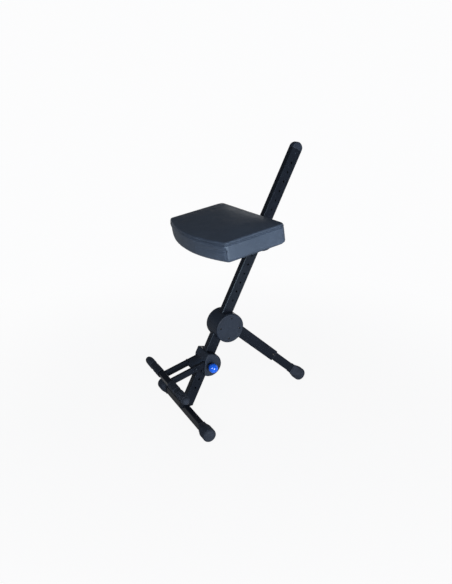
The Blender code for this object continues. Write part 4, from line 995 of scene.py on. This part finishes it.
    def staples(self, sizes, low, high, under, plane):
        """A row of staples through the hem, each a little askew."""
        inset = HEM_INSET + sizes.hem_width * STAPLE_ROW_SHARE
        half, rear = high.x - inset, high.y - inset
        places = []
        for x in self.row(STAPLE_MARGIN - half, half - STAPLE_MARGIN, sizes.staple_pitch):
            slope = 2 * sizes.cushion_bow * x / high.x ** 2
            places.append((x, low.y + inset + sizes.cushion_bow * (x / high.x) ** 2, math.atan(slope)))
            if abs(x) > STAPLE_BRACKET_GAP:
                places.append((x, rear, 0.0))
        front = low.y + sizes.cushion_bow + STAPLE_SIDE_START
        for y in self.row(front, rear - STAPLE_MARGIN, sizes.staple_pitch):
            places += [(side * half, y, math.pi / 2) for side in (-1, 1)]
        bm = bmesh.new()
        for i, (x, y, turn) in enumerate(places):
            askew = STAPLE_ASKEW * noise.noise(Vector((i * 1.7, 0.3, 0.9)))
            place = Matrix.Translation((x, y, under - sizes.hem_thickness - HEM_GAP))
            place = place @ Matrix.Rotation(turn + askew, 4, "Z") @ Matrix.Diagonal((*STAPLE_SIZE, 1))
            bmesh.ops.create_cube(bm, size=1, matrix=place)
        bevelled(bm, bm.edges[:], STAPLE_ROUNDING, 1)
        make_piece("seat_staples", bm, "seat_carriage", "zinc_steel", plane)


# Colours, the floor's size and drop, and the paper's share near the stool and further off
PAPER, FLOOR_COLOUR, AMBIENT_COLOUR = (0.974, 0.975, 0.98, 1), (0.9, 0.9, 0.9, 1), (0.93, 0.96, 1.0, 1)
FLOOR_SIZE, FLOOR_DROP, FLOOR_ROUGHNESS = 80, 0.0005, 0.9
PAPER_REACH, PAPER_SHARES = (0.35, 1.6), (0.94, 1.0)
# The bright patch of floor that gloss mirrors: its middle, the radii of its edge, and how far it dims beyond
PATCH_MIDDLE, PATCH_EDGE, PATCH_DIMMING = (1.45, 0.75, 0), (0.7, 1.15), 0.75
HORIZON = (0.0, 0.06)
SENSOR_HEIGHT = 36
# Each light's name, the property with its power, its place from the aimed point and its size
AIM_ABOVE_HUB = 0.15
LIGHTS = (("side", "side", (2.9, -0.3, 0.15), 1.2), ("accent", "accent", (1.6, -2.3, 0.8), 0.9),
          ("top", "top", (0.2, 0.3, 2.9), 1.8), ("right", "rear", (-2.3, 1.7, 0.2), 0.9),
          ("rear", "rear", (0.5, 2.9, 0.6), 1.5))


class STOOL_OT_studio(bpy.types.Operator):
    """Sets up the floor, the soft lights, the white surround and the camera"""

    bl_idname = "stool.studio"
    bl_label = "Studio"

    def execute(self, context):
        studio = context.scene.stool_studio
        self.floor()
        self.surround(context.scene, studio)
        self.lights(studio)
        self.camera(context.scene, studio)
        context.scene.view_settings.view_transform = "Standard"
        return {"FINISHED"}

    def floor(self):
        floor = object_from("studio_floor", rectangle(FLOOR_SIZE, FLOOR_SIZE))
        floor.location.z = -FLOOR_DROP
        material, tree, shader = fresh_material("studio_floor_finish")
        feed(tree, shader, {"Base Color": FLOOR_COLOUR, "Roughness": FLOOR_ROUGHNESS})
        share, strength = self.paper(tree)
        glow = add_node(tree, "Emission", "Emission", {"Color": PAPER, "Strength": strength})
        self.mix(tree, "Material Output", share, shader.outputs["BSDF"], glow)
        floor.data.materials.append(material)

    def mix(self, tree, output, share, first, second):
        """Mixes two shaders into a tree's output."""
        mixed = add_node(tree, "MixShader", "Shader", {"Fac": share, 1: first, 2: second})
        feed(tree, tree.nodes[output], {"Surface": mixed})

    def rays(self, tree):
        """What is one for the camera's rays, straight or through glass, and what is one for gloss."""
        camera = add_node(tree, "LightPath", "Is Camera Ray", {})
        path = camera.node.outputs
        return combined(tree, "MAXIMUM", camera, path["Is Transmission Ray"]), path["Is Glossy Ray"]

    def paper(self, tree):
        """The floor's share of plain paper, and its strength: white to the camera, and to gloss a bright patch."""
        seen, gloss = self.rays(tree)
        place = add_node(tree, "TexCoord", "Object", {})
        away = add_node(tree, "VectorMath", "Value", {0: place}, operation="LENGTH")
        from_patch = add_node(tree, "VectorMath", "Value", {0: place, 1: PATCH_MIDDLE},
                              operation="DISTANCE")
        near = mapped(tree, away, PAPER_REACH, PAPER_SHARES, "SMOOTHSTEP")
        share = combined(tree, "MAXIMUM", combined(tree, "MULTIPLY", seen, near), gloss)
        dimming = mapped(tree, from_patch, PATCH_EDGE, (0.0, PATCH_DIMMING), "SMOOTHSTEP")
        return share, combined(tree, "SUBTRACT", 1, combined(tree, "MULTIPLY", gloss, dimming))

    def surround(self, scene, studio):
        """Soft light from all round, and a white backdrop; gloss sees that only near the horizon."""
        world = bpy.data.worlds.new("studio_surround")
        world.use_nodes = True
        tree = world.node_tree
        ambient = tree.nodes["Background"]
        feed(tree, ambient, {"Color": AMBIENT_COLOUR, "Strength": studio.ambient})
        white = add_node(tree, "Background", "Background", {"Color": PAPER, "Strength": 1})
        seen, gloss = self.rays(tree)
        direction = add_node(tree, "TexCoord", "Generated", {})
        height = add_node(tree, "SeparateXYZ", "Z", {"Vector": direction})
        paper = mapped(tree, height, HORIZON, (1.0, 0.0), "SMOOTHSTEP")
        share = combined(tree, "MAXIMUM", seen, combined(tree, "MULTIPLY", gloss, paper))
        self.mix(tree, "World Output", share, ambient.outputs["Background"], white)
        scene.world = world

    def lights(self, studio):
        aim = hub_centre() + Vector((0, 0, AIM_ABOVE_HUB))
        for name, power, place, size in LIGHTS:
            data = bpy.data.lights.new(f"studio_{name}", "AREA")
            data.shape = "SQUARE"
            data.size = size
            data.energy = getattr(studio, power)
            light = bpy.data.objects.new(f"studio_{name}", data)
            bpy.context.collection.objects.link(light)
            light.location = aim + Vector(place)
            light.rotation_euler = (aim - light.location).to_track_quat("-Z", "Y").to_euler()

    def camera(self, scene, studio):
        data = bpy.data.cameras.new("studio_camera")
        data.sensor_fit = "VERTICAL"
        data.sensor_height = SENSOR_HEIGHT
        data.lens = studio.lens
        camera = bpy.data.objects.new("studio_camera", data)
        bpy.context.collection.objects.link(camera)
        target = hub_centre()
        target.x = 0
        target += Vector(studio.target)
        azimuth, elevation = studio.azimuth, studio.elevation
        back = Vector((math.sin(azimuth) * math.cos(elevation), -math.cos(azimuth) * math.cos(elevation),
                       math.sin(elevation)))
        camera.location = target + back * studio.distance
        camera.rotation_euler = (-back).to_track_quat("-Z", "Y").to_euler()
        scene.camera = camera


OPERATORS = (STOOL_OT_mast, STOOL_OT_boots, STOOL_OT_hub, STOOL_OT_leg, STOOL_OT_carriages, STOOL_OT_knobs,
             STOOL_OT_footrest, STOOL_OT_seat, STOOL_OT_studio)


class STOOL_PT_dresser(bpy.types.Panel):
    """Lists the stool's operators in the sidebar"""

    bl_idname = "STOOL_PT_dresser"
    bl_label = "Keyboard stool"
    bl_space_type = "VIEW_3D"
    bl_region_type = "UI"
    bl_category = "Stool"

    def draw(self, context):
        for operator in OPERATORS:
            self.layout.operator(operator.bl_idname)


CLASSES = (StoolSizes, StoolFinish, StoolStudio, *OPERATORS, STOOL_PT_dresser)


def register():
    for cls in CLASSES:
        bpy.utils.register_class(cls)
    bpy.types.Scene.stool_sizes = PointerProperty(type=StoolSizes)
    bpy.types.Scene.stool_finish = PointerProperty(type=StoolFinish)
    bpy.types.Scene.stool_studio = PointerProperty(type=StoolStudio)


def unregister():
    del bpy.types.Scene.stool_studio
    del bpy.types.Scene.stool_finish
    del bpy.types.Scene.stool_sizes
    for cls in reversed(CLASSES):
        bpy.utils.unregister_class(cls)


def main():
    register()
    for operator in OPERATORS:
        group, name = operator.bl_idname.split(".")
        getattr(getattr(bpy.ops, group), name)()


if __name__ == "__main__":
    main()
